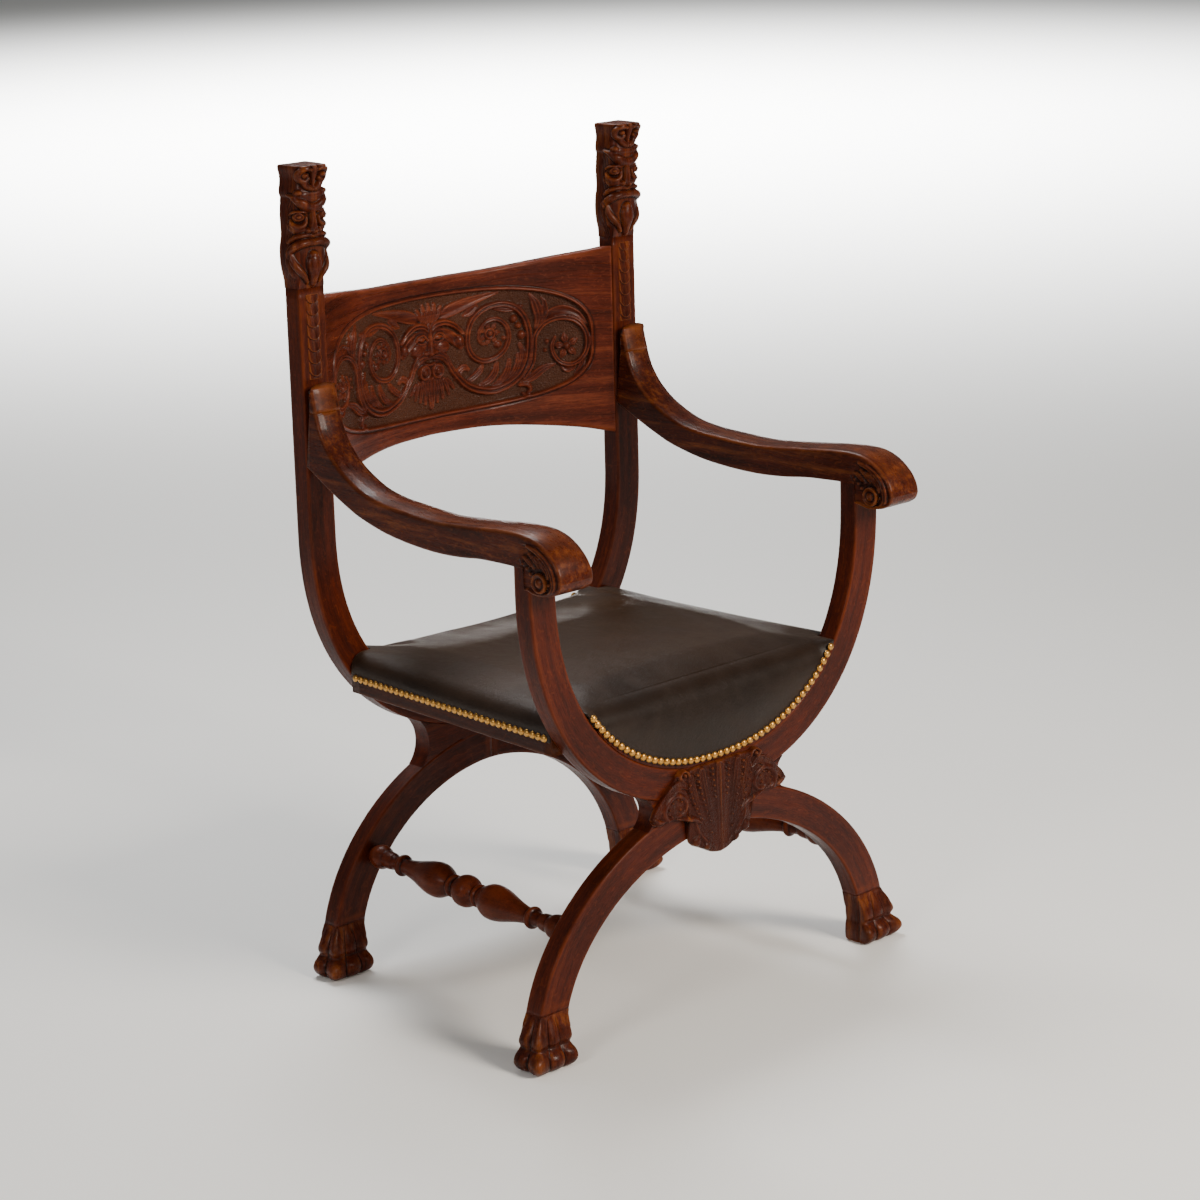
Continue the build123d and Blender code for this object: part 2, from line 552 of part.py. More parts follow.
# ---------------------------------------------------------------- back board
def back_panel():
    """Barrel-shaped board between the posts, with a sunk oval field and a raised border in it."""
    end_y = REAR_Y + PANEL_SETBACK
    radius = (POST_INNER ** 2 + PANEL_SAG ** 2) / (2 * PANEL_SAG)
    centre_y = end_y + PANEL_SAG - radius
    height = PANEL_END_TOP_Z - PANEL_END_BOTTOM_Z

    def shell(inside, outside):
        low = (0, centre_y, PANEL_END_BOTTOM_Z - 10)
        ring = extrude(Plane(low) * (Circle(outside) - Circle(inside)), amount=height + 20)
        return ring & block(-POST_INNER, POST_INNER, end_y - 1, end_y + 2 * PANEL_SAG, 0, HEAD_TOP_Z)

    top_z, low_z = PANEL_END_TOP_Z, PANEL_END_BOTTOM_Z
    top = [(0, PANEL_MID_TOP_Z), (0.42, PANEL_MID_TOP_Z + 3), (0.84, top_z - 8), (1, top_z)]
    low = [(0, PANEL_MID_BOTTOM_Z), (0.4, PANEL_MID_BOTTOM_Z - 3), (0.8, low_z + 12), (1, low_z)]

    def edge(points):
        right = [(x * POST_INNER, 0, z) for x, z in points]
        left = [(-x, y, z) for x, y, z in reversed(right[1:])]
        return left + right

    above, below = edge(top), edge(low)
    outline = [Spline(*above), Line(above[-1], below[-1]), Spline(*below), Line(below[0], above[0])]
    board = shell(radius, radius + PANEL_THICK) & slab(outline, end_y - 5, 2 * PANEL_SAG)

    def oval(shrink):
        half, tall = FIELD_HALF - shrink, FIELD_HALF_HEIGHT - shrink
        top_right = quarter(half, tall, FIELD_POWER, FIELD_Z, 1)
        arc = Spline(*top_right, tangents=[EAST, (0, 0, -1)])
        other = mirror(arc, about=Plane.YZ)
        flip = Plane((0, 0, FIELD_Z), z_dir=UP)
        arcs = [arc, other, mirror(arc, about=flip), mirror(other, about=flip)]
        return slab(arcs, end_y - 5, 2 * PANEL_SAG)

    field = oval(BORDER) & shell(radius - 1, radius + FIELD_DEPTH)
    groove = (oval(0) - oval(BORDER / 3)) & shell(radius - 1, radius + FIELD_DEPTH / 2)
    board = board - field - groove

    def tenon(root, gap):
        sides = (POST_INNER - root, POST_INNER + PANEL_TENON + gap)
        return block(*sides, end_y + 10 - gap, end_y + 20 + gap, low_z + 30 - gap, top_z - 30 + gap)

    right_tenon = tenon(12, 0)
    return board + right_tenon + mirrored(right_tenon), tenon(0, DOWEL_CLEARANCE)


parts["back_panel"], panel_mortise = back_panel()
rear_bow -= panel_mortise


# ---------------------------------------------------------------- arms
def arm_outline():
    """Side view of the arm, an S-curve that ends in a scroll in front of the post.
    Points are (distance behind the front face, height above the top of the front post)."""
    rise, low = ARM_RISE, ARM_END_LOW_Z - ARM_SEAT_Z
    roll_z = ROSETTE_Z - ARM_SEAT_Z
    under = [(1, low), (0.896, low * 0.6), (0.75, 9), (0.563, -6.5), (0.372, -10), (0.189, -4)]
    under = [(y * FRAME_PITCH, z) for y, z in under] + [(BOARD, 0)]
    nose = (-SCROLL_REACH, roll_z + 6)
    curl = [(0, roll_z - 13), (-SCROLL_REACH * 0.3, roll_z - SCROLL_DEPTH)]
    curl += [(-SCROLL_REACH * 0.67, roll_z - 15), nose]
    roll = [nose, (-SCROLL_REACH * 0.77, rise - 23), (-SCROLL_REACH * 0.3, rise - 5)]
    rest = [(0.045, rise), (0.241, rise - 7.5), (0.405, rise - 12), (0.563, rise - 9), (0.732, rise + 2),
            (0.856, rise + 31), (0.932, rise + 74)]
    top = roll + [(y * FRAME_PITCH, z) for y, z in rest]
    top += [(FRAME_PITCH - SHOULDER_THICK, SHOULDER_TOP_Z - ARM_SEAT_Z)]

    def spline(points, ends):
        spots = [(0, y + FRONT_Y, z + ARM_SEAT_Z) for y, z in points]
        return Spline(*spots, tangents=ends)

    y0, y1, y2 = FRONT_Y, FRONT_Y + BOARD, REAR_Y
    return [
        spline(under, [(0, -1, -0.55), (0, -1, 0.06)]),
        Polyline((0, y1, ARM_SEAT_Z), (0, y0, ARM_SEAT_Z), (0, y0, ARM_SEAT_Z + curl[0][1])),
        spline(curl, [(0, -1, -0.4), (0, 0, 1)]),
        spline(top, [(0, 0, 1), (0, 0.12, 1)]),
        Polyline((0, y2 - SHOULDER_THICK, SHOULDER_TOP_Z), (0, y2, SHOULDER_TOP_Z), (0, y2, ARM_END_LOW_Z)),
    ]


def arm_sides(y):
    """Inner and outer x of the right arm at y."""
    share = min(1, max(0, (REAR_Y - y) / FRAME_PITCH))
    outer = REAR_HALF + (FRONT_HALF + ARM_OVERHANG - REAR_HALF) * share
    return outer - ARM_WIDTH_BACK - (ARM_WIDTH_FRONT - ARM_WIDTH_BACK) * share, outer


def arm():
    side = extrude(outline_face(arm_outline()), amount=2 * FRONT_HALF, dir=EAST)
    inner0, outer0 = arm_sides(FRONT_Y)
    inner1, outer1 = arm_sides(REAR_Y)
    tip = FRONT_Y - SCROLL_REACH - 5
    outside = [(outer0, tip), (outer0, FRONT_Y), (outer1, REAR_Y)]
    inside = [(inner1, REAR_Y), (inner0, FRONT_Y), (inner0, tip)]
    whole = side & plan(outside + inside, 0, HEAD_TOP_Z)
    above = block(0, 2 * FRONT_HALF, FRONT_Y, REAR_Y + BOARD, SHOULDER_Z, HEAD_TOP_Z)
    return whole - above, whole & above


right_arm, right_shoulder = arm()
inner_x, outer_x = arm_sides(FRONT_Y)
hole = dowel("arm_dowels", (FRONT_HALF - MEMBER / 2, FRONT_Y + BOARD / 2, ARM_SEAT_Z - DOWEL_LENGTH / 2), UP)
right_arm -= hole
front_bow -= hole


def rosette():
    """Small turned boss: a ring around a raised button, standing on the XY plane."""
    ring = Cylinder(ROSETTE_RADIUS, ROSETTE_PROUD, align=(Align.CENTER, Align.CENTER, Align.MIN))
    dish = Location((0, 0, ROSETTE_PROUD)) * Torus(ROSETTE_RADIUS * 0.6, ROSETTE_RADIUS * 0.2)
    return ring - dish


spot_y = FRONT_Y + ROSETTE_Y
outer_boss = Plane((outer_x, spot_y, ROSETTE_Z), z_dir=EAST).location * rosette()
inner_boss = Plane((inner_x, spot_y, ROSETTE_Z), z_dir=(-1, 0, 0)).location * rosette()
parts["arm_rosettes"] = both(outer_boss) + both(inner_boss)


# ---------------------------------------------------------------- screws and plugs through the back posts
def arm_screws():
    """Screws from behind each post: two into the arm and one into its shoulder, under wooden plugs."""
    screws, plugs, bores, sinks = [], [], [], []
    back = REAR_Y + BOARD
    for z, reach in ((SHOULDER_Z - 52, 26), (SHOULDER_Z - 22, 22), (SHOULDER_Z + 18, 12)):
        head_y = back - PLUG_DEPTH
        shank = rod((POST_X, REAR_Y - reach, z), (POST_X, head_y, z), SCREW_RADIUS)
        head = rod((POST_X, head_y - 3, z), (POST_X, head_y, z), PLUG_RADIUS - 1)
        screws.append(shank + head)
        plugs.append(rod((POST_X, head_y, z), (POST_X, back, z), PLUG_RADIUS))
        bores.append(rod((POST_X, REAR_Y - reach - 1, z), (POST_X, back, z), SCREW_RADIUS + DOWEL_CLEARANCE))
        sinks.append(rod((POST_X, head_y - 3, z), (POST_X, back + 1, z), PLUG_RADIUS + PLUG_CLEARANCE))
    return screws, plugs, bores, sinks


screws, plugs, screw_bores, plug_sinks = arm_screws()
rear_bow = rear_bow - screw_bores - plug_sinks
right_arm = right_arm - screw_bores[:2]
right_shoulder = right_shoulder - screw_bores[2]
parts["arm_screws"] = screws + [mirrored(one) for one in screws]
parts["screw_plugs"] = plugs + [mirrored(one) for one in plugs]
pair("arm", right_arm)
pair("arm_shoulder", right_shoulder)


# ---------------------------------------------------------------- scale strips
def scale_strip():
    """Strip of overlapping round scales in a groove down the face of the right back post."""
    length = SCALE_COUNT * SCALE_PITCH
    low = SCALE_STRIP_TOP_Z - length
    half = SCALE_WIDTH / 2
    groove = block(POST_X - half, POST_X + half, REAR_Y, REAR_Y + SCALE_GROOVE, low, SCALE_STRIP_TOP_Z)
    strip = block(POST_X - half, POST_X + half, REAR_Y + 1.5, REAR_Y + SCALE_GROOVE, low, SCALE_STRIP_TOP_Z)
    for i in range(SCALE_COUNT):
        z = low + SCALE_PITCH * (i + 0.5)
        strip += rod((POST_X, REAR_Y - 0.5, z), (POST_X, REAR_Y + 2, z), half - 0.2)
    limits = block(POST_X - half, POST_X + half, REAR_Y - 2, REAR_Y + SCALE_GROOVE, low, SCALE_STRIP_TOP_Z)
    return strip & limits, groove


strip, groove = scale_strip()
rear_bow -= groove
pair("scale_strip", strip)


# ---------------------------------------------------------------- finials
def finial():
    """Grotesque mask with a flared cap: brow, eyes, nose, moustache, open mouth and a long tongue.
    Heights on the face are shares of the height between the post and the cap."""
    y0, y1 = REAR_Y, REAR_Y + BOARD
    x0, x1 = POST_INNER, REAR_HALF
    cap_z = HEAD_TOP_Z - CAP_HEIGHT
    height = cap_z - HEAD_BASE_Z
    shares = (0.18, 0.335, 0.705, 0.885)
    neck_top, mouth_z, brow_z, waist_z = (HEAD_BASE_Z + height * share for share in shares)
    neck = loft([
        Plane((POST_X, (y0 + y1) / 2, HEAD_BASE_Z)) * Rectangle(MEMBER, BOARD),
        Plane((POST_X, (y0 + y1 - 8) / 2, neck_top)) * Rectangle(MEMBER + 6, BOARD + 8),
    ])
    skull = block(x0 - 3, x1 + 3, y0 - 8, y1, neck_top, waist_z)
    skull = fillet(skull.edges().filter_by(Axis.Z), 8)
    waist = block(x0, x1, y0 - 5, y1, waist_z, cap_z)
    overhang = (CAP_WIDTH - MEMBER) / 2
    cap = block(x0 - overhang, x1 + overhang, y0 - CAP_FRONT, y1, cap_z, HEAD_TOP_Z)
    cap = chamfer(cap.edges().group_by(Axis.Z)[0], 4)
    brow = block(x0, x1, y0 - 13, y0, brow_z, brow_z + height * 0.08)
    profile = [(POST_X - 6, y0 - 7), (POST_X, y0 - 19), (POST_X + 6, y0 - 7)]
    nose = plan(profile, mouth_z + height * 0.13, height * 0.25)
    moustache = block(x0 - 1, x1 + 1, y0 - 14, y0, mouth_z + height * 0.06, mouth_z + height * 0.12)
    tongue = rod((POST_X, y0 - 8, HEAD_BASE_Z + height * 0.06), (POST_X, y0 - 8, mouth_z), 7)
    tuft = rod((POST_X, y0 - 9, waist_z), (POST_X, y0 - 9, HEAD_TOP_Z - CAP_HEIGHT / 2), 8)
    eyes = [Location((POST_X + dx, y0 - 8, brow_z - height * 0.05)) * Sphere(5) for dx in (-11, 11)]
    return neck + skull + waist + cap + brow + nose + moustache + tongue + tuft + eyes[0] + eyes[1]


hole = dowel("finial_dowels", (POST_X, REAR_Y + BOARD / 2, HEAD_BASE_Z - DOWEL_LENGTH / 2), UP)
rear_bow -= hole
pair("mask_finial", finial() - hole)


# ---------------------------------------------------------------- cartouche
def cartouche():
    """Carved shield applied over the front crossing: leafy arms, a palmette and a scrolled tip.
    Points are (share of the half width, height from the crown of the arch)."""
    rise, drop = CARTOUCHE_RISE, CARTOUCHE_DROP
    right = [(0.44, rise - 2), (0.57, rise - 11), (0.83, 16), (1, -8), (0.89, -20), (0.7, -18), (0.49, -29),
             (0.45, -57), (0.29, 15 - drop), (0, -drop)]
    points = [(x * CARTOUCHE_HALF, 0, z + ARCH_TOP_Z) for x, z in right]
    curve = Spline(*points, tangents=[(1, 0, -0.3), (-1, 0, 0)])
    crown = Line((0, 0, ARCH_TOP_Z + rise), points[0])
    halves = [crown, curve, mirror(crown, about=Plane.YZ), mirror(curve, about=Plane.YZ)]
    shield = slab(halves, FRONT_Y - CARTOUCHE_THICK, CARTOUCHE_THICK)
    for share, height, radius, proud in ((0.65, 3, 17, 4), (0.44, 29, 10, 3), (0.19, -3, 15, 4)):
        for side in (-1, 1):
            x, z = side * share * CARTOUCHE_HALF, height + ARCH_TOP_Z
            shield += rod((x, FRONT_Y - 5, z), (x, FRONT_Y - CARTOUCHE_THICK - proud, z), radius)
    low, high = ARCH_TOP_Z + 14 - drop, ARCH_TOP_Z + rise - 13
    return shield + rod((0, FRONT_Y - CARTOUCHE_THICK, low), (0, FRONT_Y - CARTOUCHE_THICK, high), 6)


parts["cartouche"] = cartouche()

# ---------------------------------------------------------------- finished frames and fasteners
pair("front_bow", front_bow)
pair("rear_bow", rear_bow)
pair("front_leg", front_arch)
pair("rear_leg", rear_arch)
for name, group in dowels.items():
    centred = name in ("bow_dowels", "arch_dowels")
    parts[name] = group if centred else group + [mirrored(one) for one in group]

# ---------------------------------------------------------------- export
os.makedirs("parts", exist_ok=True)
for name, shape in parts.items():
    solids = shape if isinstance(shape, list) else solids_of(shape)
    flat = [one for item in solids for one in solids_of(item)]
    out = flat[0] if len(flat) == 1 else Compound(children=flat)
    out.label = name
    export_step(out, f"parts/{name}.step")
    print(name, len(flat), round(sum(one.volume for one in flat)))
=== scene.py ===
# %% [markdown]
# # A carved oak Savonarola armchair
# This lesson dresses a finished construction model of the chair. Two X-shaped frames of bowed
# oak stand on paw feet and carry a barrel back board, scrolled arms and a nailed leather seat.
# The construction model stays as it is; each step below makes the surface that the eye meets.

# %% Load the construction model
from math import cos, pi, radians, sin
import bpy
import bmesh
import numpy as np
from mathutils import Matrix, Vector


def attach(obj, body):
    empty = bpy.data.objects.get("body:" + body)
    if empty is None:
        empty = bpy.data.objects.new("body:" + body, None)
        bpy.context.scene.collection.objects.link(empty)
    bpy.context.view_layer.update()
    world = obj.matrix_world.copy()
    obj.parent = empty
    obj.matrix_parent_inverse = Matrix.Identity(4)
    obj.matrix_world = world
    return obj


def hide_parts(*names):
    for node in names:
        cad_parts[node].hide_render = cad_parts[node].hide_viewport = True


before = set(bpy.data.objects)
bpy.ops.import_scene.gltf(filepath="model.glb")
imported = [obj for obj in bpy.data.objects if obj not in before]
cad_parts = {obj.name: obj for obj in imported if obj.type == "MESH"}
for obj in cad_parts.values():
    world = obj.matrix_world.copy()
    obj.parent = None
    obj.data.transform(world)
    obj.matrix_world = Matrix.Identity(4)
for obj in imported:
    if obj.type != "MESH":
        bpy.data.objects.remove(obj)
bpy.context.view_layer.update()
MM = 0.001
print("nodes:", len(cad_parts))

# %% [markdown]
# ## Sizes
# All shapes are worked out in millimetres and turned to metres when they become a mesh. These
# are the sizes of the construction model: the half widths of the bows and arches, the faces of
# the two frames (the chair faces -Y), and the places of the arms, seat and back board.

# %% Sizes of the chair, in millimetres
BOARD, MEMBER, PITCH = 29.0, 43.0, 444.0
FRONT_Y = -245.0
REAR_Y = FRONT_Y + PITCH
FRONT_HALF, REAR_HALF = 320.0, 305.0
SPRING_Z, BOW_POWER = 625.0, 2.21
FRONT_BOTTOM, REAR_BOTTOM = 293.0, 307.0
ARCH_TOP, ARCH_CROWN, ARCH_SPRING, ARCH_POWER = 293.0, 46.0, 29.0, 1.89
FRONT_LEG, REAR_LEG, LEG_FOOT, PAW_TOP = 331.0, 299.0, 48.5, 72.0
POST_X = REAR_HALF - MEMBER / 2
ARM_SEAT, SHOULDER_Z = 660.0, 794.0
HEAD_BASE, HEAD_TOP = 955.0, 1116.0
RAIL_TOP, RAIL_HEIGHT, RAIL_THICK, RAIL_INSET = 426.0, 28.0, 20.0, 3.0
SEAT_TOP = 456.0
POST_INNER = REAR_HALF - MEMBER
PANEL_SAG, PANEL_THICK, PANEL_Y = 92.0, 18.0, REAR_Y + 2
PANEL_R = (POST_INNER ** 2 + PANEL_SAG ** 2) / (2 * PANEL_SAG)
ARRIS = 2.5
print("barrel radius of the back board:", round(PANEL_R, 1))

# %% [markdown]
# ## Colours and nodes
# Colours are written as sRGB hex values, the way a paint chart gives them, and one function
# turns them to the linear values that the shaders work with. A second small function adds any
# node with its settings and links, so that a material reads as a list of steps. The settings
# that come back often have names.

# %% Colour and node helpers
def colour(code, alpha=1.0):
    """Linear RGBA of an sRGB hex code: a channel c becomes ((c + 0.055) / 1.055)^2.4, or c / 12.92
    where it is very dark."""
    channels = [int(code[i:i + 2], 16) / 255 for i in (1, 3, 5)]
    linear = [c / 12.92 if c <= 0.04045 else ((c + 0.055) / 1.055) ** 2.4 for c in channels]
    return (*linear, alpha)


def connect(tree, node, **inputs):
    """Sets or links sockets, each called by its name (_ for a space) or by n and its number."""
    for key, value in inputs.items():
        socket = node.inputs[int(key[1:]) if key[1:].isdigit() else key.replace("_", " ")]
        if isinstance(value, bpy.types.NodeSocket):
            tree.links.new(value, socket)
        else:
            socket.default_value = colour(value) if isinstance(value, str) else value


def add(tree, kind, settings=(), out=0, stops=(), **inputs):
    """Adds a node and gives back one output. Settings are (property, value) pairs, and the stops
    of a colour ramp are (place, hex code or grey)."""
    node = tree.nodes.new("ShaderNode" + kind)
    for key, value in settings:
        setattr(node, key, value)
    for k, (place, shade) in enumerate(stops):
        elements = node.color_ramp.elements
        element = elements[k] if k < 2 else elements.new(place)
        element.position = place
        element.color = colour(shade) if isinstance(shade, str) else (shade, shade, shade, 1)
    connect(tree, node, **inputs)
    return node.outputs[out]


MIX = (("data_type", "RGBA"),)
DARKEN = MIX + (("blend_type", "MULTIPLY"),)
TIMES = (("operation", "MULTIPLY"),)
TIMES_PLUS = (("operation", "MULTIPLY_ADD"),)
CELL_EDGES = (("feature", "DISTANCE_TO_EDGE"),)
WEAR, GROUND, GRAIN = ((("attribute_name", name),) for name in ("wear", "ground", "grain"))


def new_material(name):
    """Empty material with its Principled shader: (material, tree, shader)."""
    material = bpy.data.materials.new(name)
    material.use_nodes = True
    tree = material.node_tree
    return material, tree, tree.nodes["Principled BSDF"]


print("red-brown of the varnish, linear:", [round(c, 3) for c in colour("#5C2616")])

# %% [markdown]
# ## Varnished, quartersawn oak
# Oak cut through the heart of the log shows three things: fine dark pores along the grain, soft
# bands where growth was fast or slow, and pale ray flecks that wander across the grain and
# shine. A red-brown spirit varnish lies over it. It is rubbed thin on edges and high carving,
# and the colour is made darker in every hollow. Each piece carries a "grain" attribute, its place
# in the plank (along, across and through, in metres), so the pattern follows a bent member as
# wood does, and a "wear" attribute that is positive on crests and negative in hollows.

# %% Oak material
def oak(name, dark, middle, light, fleck=0.5, gloss=0.36, ground=None, by_position=False):
    """Varnished oak. Growth bands are 12 mm wide, flecks 6 by 11 mm. Pores are 0.8 by 17 mm, twice
    as wide as real ones, so that they show."""
    material, tree, shader = new_material(name)
    if by_position:
        place = add(tree, "TexCoord", out="Object")
    else:
        place = add(tree, "Attribute", GRAIN, "Vector")
    wear = add(tree, "Attribute", WEAR, "Fac")
    drift = add(tree, "TexNoise", out="Color", Vector=place, Scale=6.0, Detail=2.0)
    bent = add(tree, "VectorMath", TIMES_PLUS, n0=drift, n1=(0.0, 0.012, 0.012), n2=place)

    def stretched(along, across, detail, roughness=0.5, distortion=0.0):
        """Noise with so many features to the metre along the grain and across it."""
        scaled = add(tree, "Mapping", Vector=bent, Scale=(along, across, across))
        return add(tree, "TexNoise", Vector=scaled, Scale=1.0, Detail=detail, Roughness=roughness,
                   Distortion=distortion)

    bands = add(tree, "ValToRGB", stops=[(0.30, dark), (0.52, middle), (0.75, light)],
                Fac=stretched(3, 80, 4.0, 0.6))
    pores = add(tree, "ValToRGB", stops=[(0.42, 0.38), (0.56, 1.0)],
                Fac=stretched(60, 1300, 3.0, 0.75))
    flecks = add(tree, "ValToRGB", stops=[(0.56, 0.0), (0.70, 1.0)],
                 Fac=stretched(90, 170, 2.0, 0.5, 1.6))
    blotch = add(tree, "ValToRGB", stops=[(0.35, 0.72), (0.65, 1.15)],
                 Fac=add(tree, "TexNoise", Vector=place, Scale=9.0, Detail=3.0))
    patches = add(tree, "ValToRGB", stops=[(0.35, 0.25), (0.65, 1.0)],
                  Fac=add(tree, "TexNoise", Vector=place, Scale=38.0, Detail=4.0))
    tone = add(tree, "Mix", DARKEN, 2, n0=0.75, n6=bands, n7=pores)
    tone = add(tree, "Mix", MIX, 2, n0=add(tree, "Math", TIMES, n0=flecks, n1=fleck), n6=tone,
               n7=light)
    tone = add(tree, "Mix", DARKEN, 2, n0=0.8, n6=tone, n7=blotch)
    # The varnish is rubbed off in patches on crests, and the colour is made darker, towards
    # #140805, the deeper a hollow is.
    rubbed = add(tree, "MapRange", Value=wear, n1=0.2, n2=1.0, n3=0.0, n4=0.6)
    tone = add(tree, "Mix", MIX, 2, n0=add(tree, "Math", TIMES, n0=rubbed, n1=patches), n6=tone,
               n7=light)
    hollow_darkening = add(tree, "MapRange", Value=wear, n1=-0.08, n2=-0.75, n3=0.0, n4=0.85)
    tone = add(tree, "Mix", MIX, 2, n0=hollow_darkening, n6=tone, n7="#140805")
    relief = add(tree, "Mix", MIX, 2, n0=0.25, n6=pores, n7=flecks)
    bump = add(tree, "Bump", Height=relief, Strength=0.22, Distance=0.0006)
    if ground:
        # The matted ground is struck with a punch about 2 mm wide.
        sunk = add(tree, "Attribute", GROUND, "Fac")
        tone = add(tree, "Mix", MIX, 2, n0=sunk, n6=tone,
                   n7=add(tree, "Mix", DARKEN, 2, n0=0.8, n6=ground, n7=blotch))
        punch = add(tree, "TexVoronoi", Vector=place, Scale=420.0)
        punched = add(tree, "Math", TIMES, n0=punch, n1=sunk)
        bump = add(tree, "Bump", Height=punched, Strength=0.8, Distance=0.002, Normal=bump)
    rough = add(tree, "MapRange", Value=stretched(12, 300, 3.0), n1=0.3, n2=0.7, n3=gloss - 0.07,
                n4=gloss + 0.13)
    connect(tree, shader, Base_Color=tone, Roughness=rough, IOR=1.5, Specular_IOR_Level=0.08,
            Coat_Weight=0.08, Coat_Roughness=0.14, Normal=bump)
    return material


FRAME_TONES = ("#32120A", "#4A1A0C", "#62290F")
frame_oak = oak("varnished_quartersawn_oak", *FRAME_TONES, 0.4)
arm_oak = oak("rubbed_arm_oak", "#2E1108", "#4A1B0D", "#7E431F", 0.3, 0.30)
carved_oak = oak("carved_oak", "#2E1008", "#4E1D0E", "#82461F", 0.15, 0.28)
shield_oak = oak("shield_oak", "#2C0F08", "#4A1B0D", "#7C431F", 0.1, 0.28, ground="#36140A")
board_oak = oak("back_board_oak", "#3A170D", "#552113", "#7C3C24", 0.25, 0.30, ground="#45271A")
rail_oak = oak("rail_oak", "#240D06", "#3A160A", "#5C2F14", 0.3, 0.40)
block_oak = oak("joint_block_oak", *FRAME_TONES, 0.3, by_position=True)
print("oak materials:", [m.name for m in bpy.data.materials if "oak" in m.name])

# %% [markdown]
# ## Surfaces from grids
# Every new piece is one or more grids of points. A grid is an array of rows and columns, and
# each cell becomes a four-sided face. The grids of a piece share their edge points, so welding
# them closes the shape. The wear on crests and hollows is measured on the finished mesh: its
# points are smoothed a few times, and the distance that a point moves along its normal says
# how far it stood out of, or lay under, its surroundings.

# %% Mesh helpers
def quads(rows, cols, wrap=False):
    """Corner numbers of the faces of a grid; wrap joins the last column to the first."""
    r = np.arange(rows - 1)[:, None]
    c = np.arange(cols if wrap else cols - 1)[None, :]
    after = (c + 1) % cols
    a, b = r * cols + c, r * cols + after
    return np.stack([a, b, b + cols, a + cols], -1).reshape(-1, 4)


def read(items, key, width, kind=float):
    """All values of a mesh collection as an array with a row for each item."""
    values = np.empty(len(items) * width, kind)
    items.foreach_get(key, values)
    return values.reshape(-1, width)


def put(name, data):
    """New object at the origin of the scene."""
    thing = bpy.data.objects.new(name, data)
    bpy.context.scene.collection.objects.link(thing)
    return thing


def crests(mesh, rounds, reach):
    """Signed height of each point over its smoothed surroundings, as a share of reach (mm)."""
    points = read(mesh.vertices, "co", 3) / MM
    normals = read(mesh.vertex_normals, "vector", 3, np.float32)
    a, b = read(mesh.edges, "vertices", 2, np.int32).T
    count = len(points)
    degree = np.bincount(a, minlength=count) + np.bincount(b, minlength=count)
    smooth = points.copy()
    for _ in range(rounds):
        total = [np.bincount(a, smooth[b, k], count) + np.bincount(b, smooth[a, k], count)
                 for k in range(3)]
        smooth = 0.3 * smooth + 0.7 * np.stack(total, -1) / np.maximum(degree, 1)[:, None]
    return np.clip(((points - smooth) * normals).sum(1) / reach, -1, 1)


NO_JOINT = -99.0


def piece(name, patches, material, slot="dark_oak", nodes=(), wear=(6, 0.6), weld=0.01,
          above=None, below=None, joint=NO_JOINT):
    """One welded mesh from patches, each (points, grain or None, wrap[, ground]) in millimetres.
    Wear is (rounds, reach) for crests. Above or below keeps only that side of a height, with the
    saw cut closed. Nothing is worn within 5 mm of a joint's height, where the next piece covers
    the edge."""
    starts = np.cumsum([0] + [p[0].shape[0] * p[0].shape[1] for p in patches])
    points = np.concatenate([p[0].reshape(-1, 3) for p in patches])
    grain = np.concatenate([(p[0] if p[1] is None else p[1]).reshape(-1, 3) for p in patches])
    ground = np.concatenate([(p[3] if len(p) > 3 else np.zeros(p[0].shape[:2])).ravel()
                             for p in patches])
    faces = np.concatenate([quads(*p[0].shape[:2], p[2]) + s for p, s in zip(patches, starts)])
    mesh = bpy.data.meshes.new(name)
    mesh.vertices.add(len(points))
    mesh.vertices.foreach_set("co", (points * MM).ravel())
    mesh.loops.add(faces.size)
    mesh.loops.foreach_set("vertex_index", faces.ravel().astype(np.int32))
    mesh.polygons.add(len(faces))
    mesh.polygons.foreach_set("loop_start", np.arange(0, faces.size, 4, dtype=np.int32))
    mesh.update(calc_edges=True)
    for key, kind, values in (("grain", "FLOAT_VECTOR", grain * MM), ("ground", "FLOAT", ground)):
        store = mesh.attributes.new(key, kind, "POINT")
        store.data.foreach_set("vector" if kind == "FLOAT_VECTOR" else "value", values.ravel())
    shape = bmesh.new()
    shape.from_mesh(mesh)
    bmesh.ops.remove_doubles(shape, verts=shape.verts, dist=weld * MM)
    bmesh.ops.dissolve_degenerate(shape, edges=shape.edges, dist=weld * MM / 10)
    if above or below:
        everything = shape.verts[:] + shape.edges[:] + shape.faces[:]
        cut = bmesh.ops.bisect_plane(shape, geom=everything, plane_co=(0, 0, (above or below) * MM),
                                     plane_no=(0, 0, -1 if above else 1), clear_outer=True)
        rim = [e for e in cut["geom_cut"] if isinstance(e, bmesh.types.BMEdge)]
        bmesh.ops.edgenet_fill(shape, edges=rim)
    bmesh.ops.recalc_face_normals(shape, faces=shape.faces)
    shape.to_mesh(mesh)
    shape.free()
    mesh.polygons.foreach_set("use_smooth", np.full(len(mesh.polygons), True))
    store = mesh.attributes.new("wear", "FLOAT", "POINT")
    from_joint = np.abs(read(mesh.vertices, "co", 3)[:, 2] / MM - joint)
    store.data.foreach_set("value", crests(mesh, *wear) * np.clip(from_joint / 5 - 0.3, 0, 1))
    mesh.materials.append(material)
    thing = put(name, mesh)
    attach(thing, "root")
    if nodes:
        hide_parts(*nodes)
    print(name, "points", len(mesh.vertices), "faces", len(mesh.polygons))
    return thing


FLIP = np.array([-1.0, 1.0, 1.0])


def mirrored(patches):
    """The same patches on the other side of the plane x = 0."""
    return [(p[0] * FLIP, p[0] if p[1] is None else p[1], *p[2:]) for p in patches]


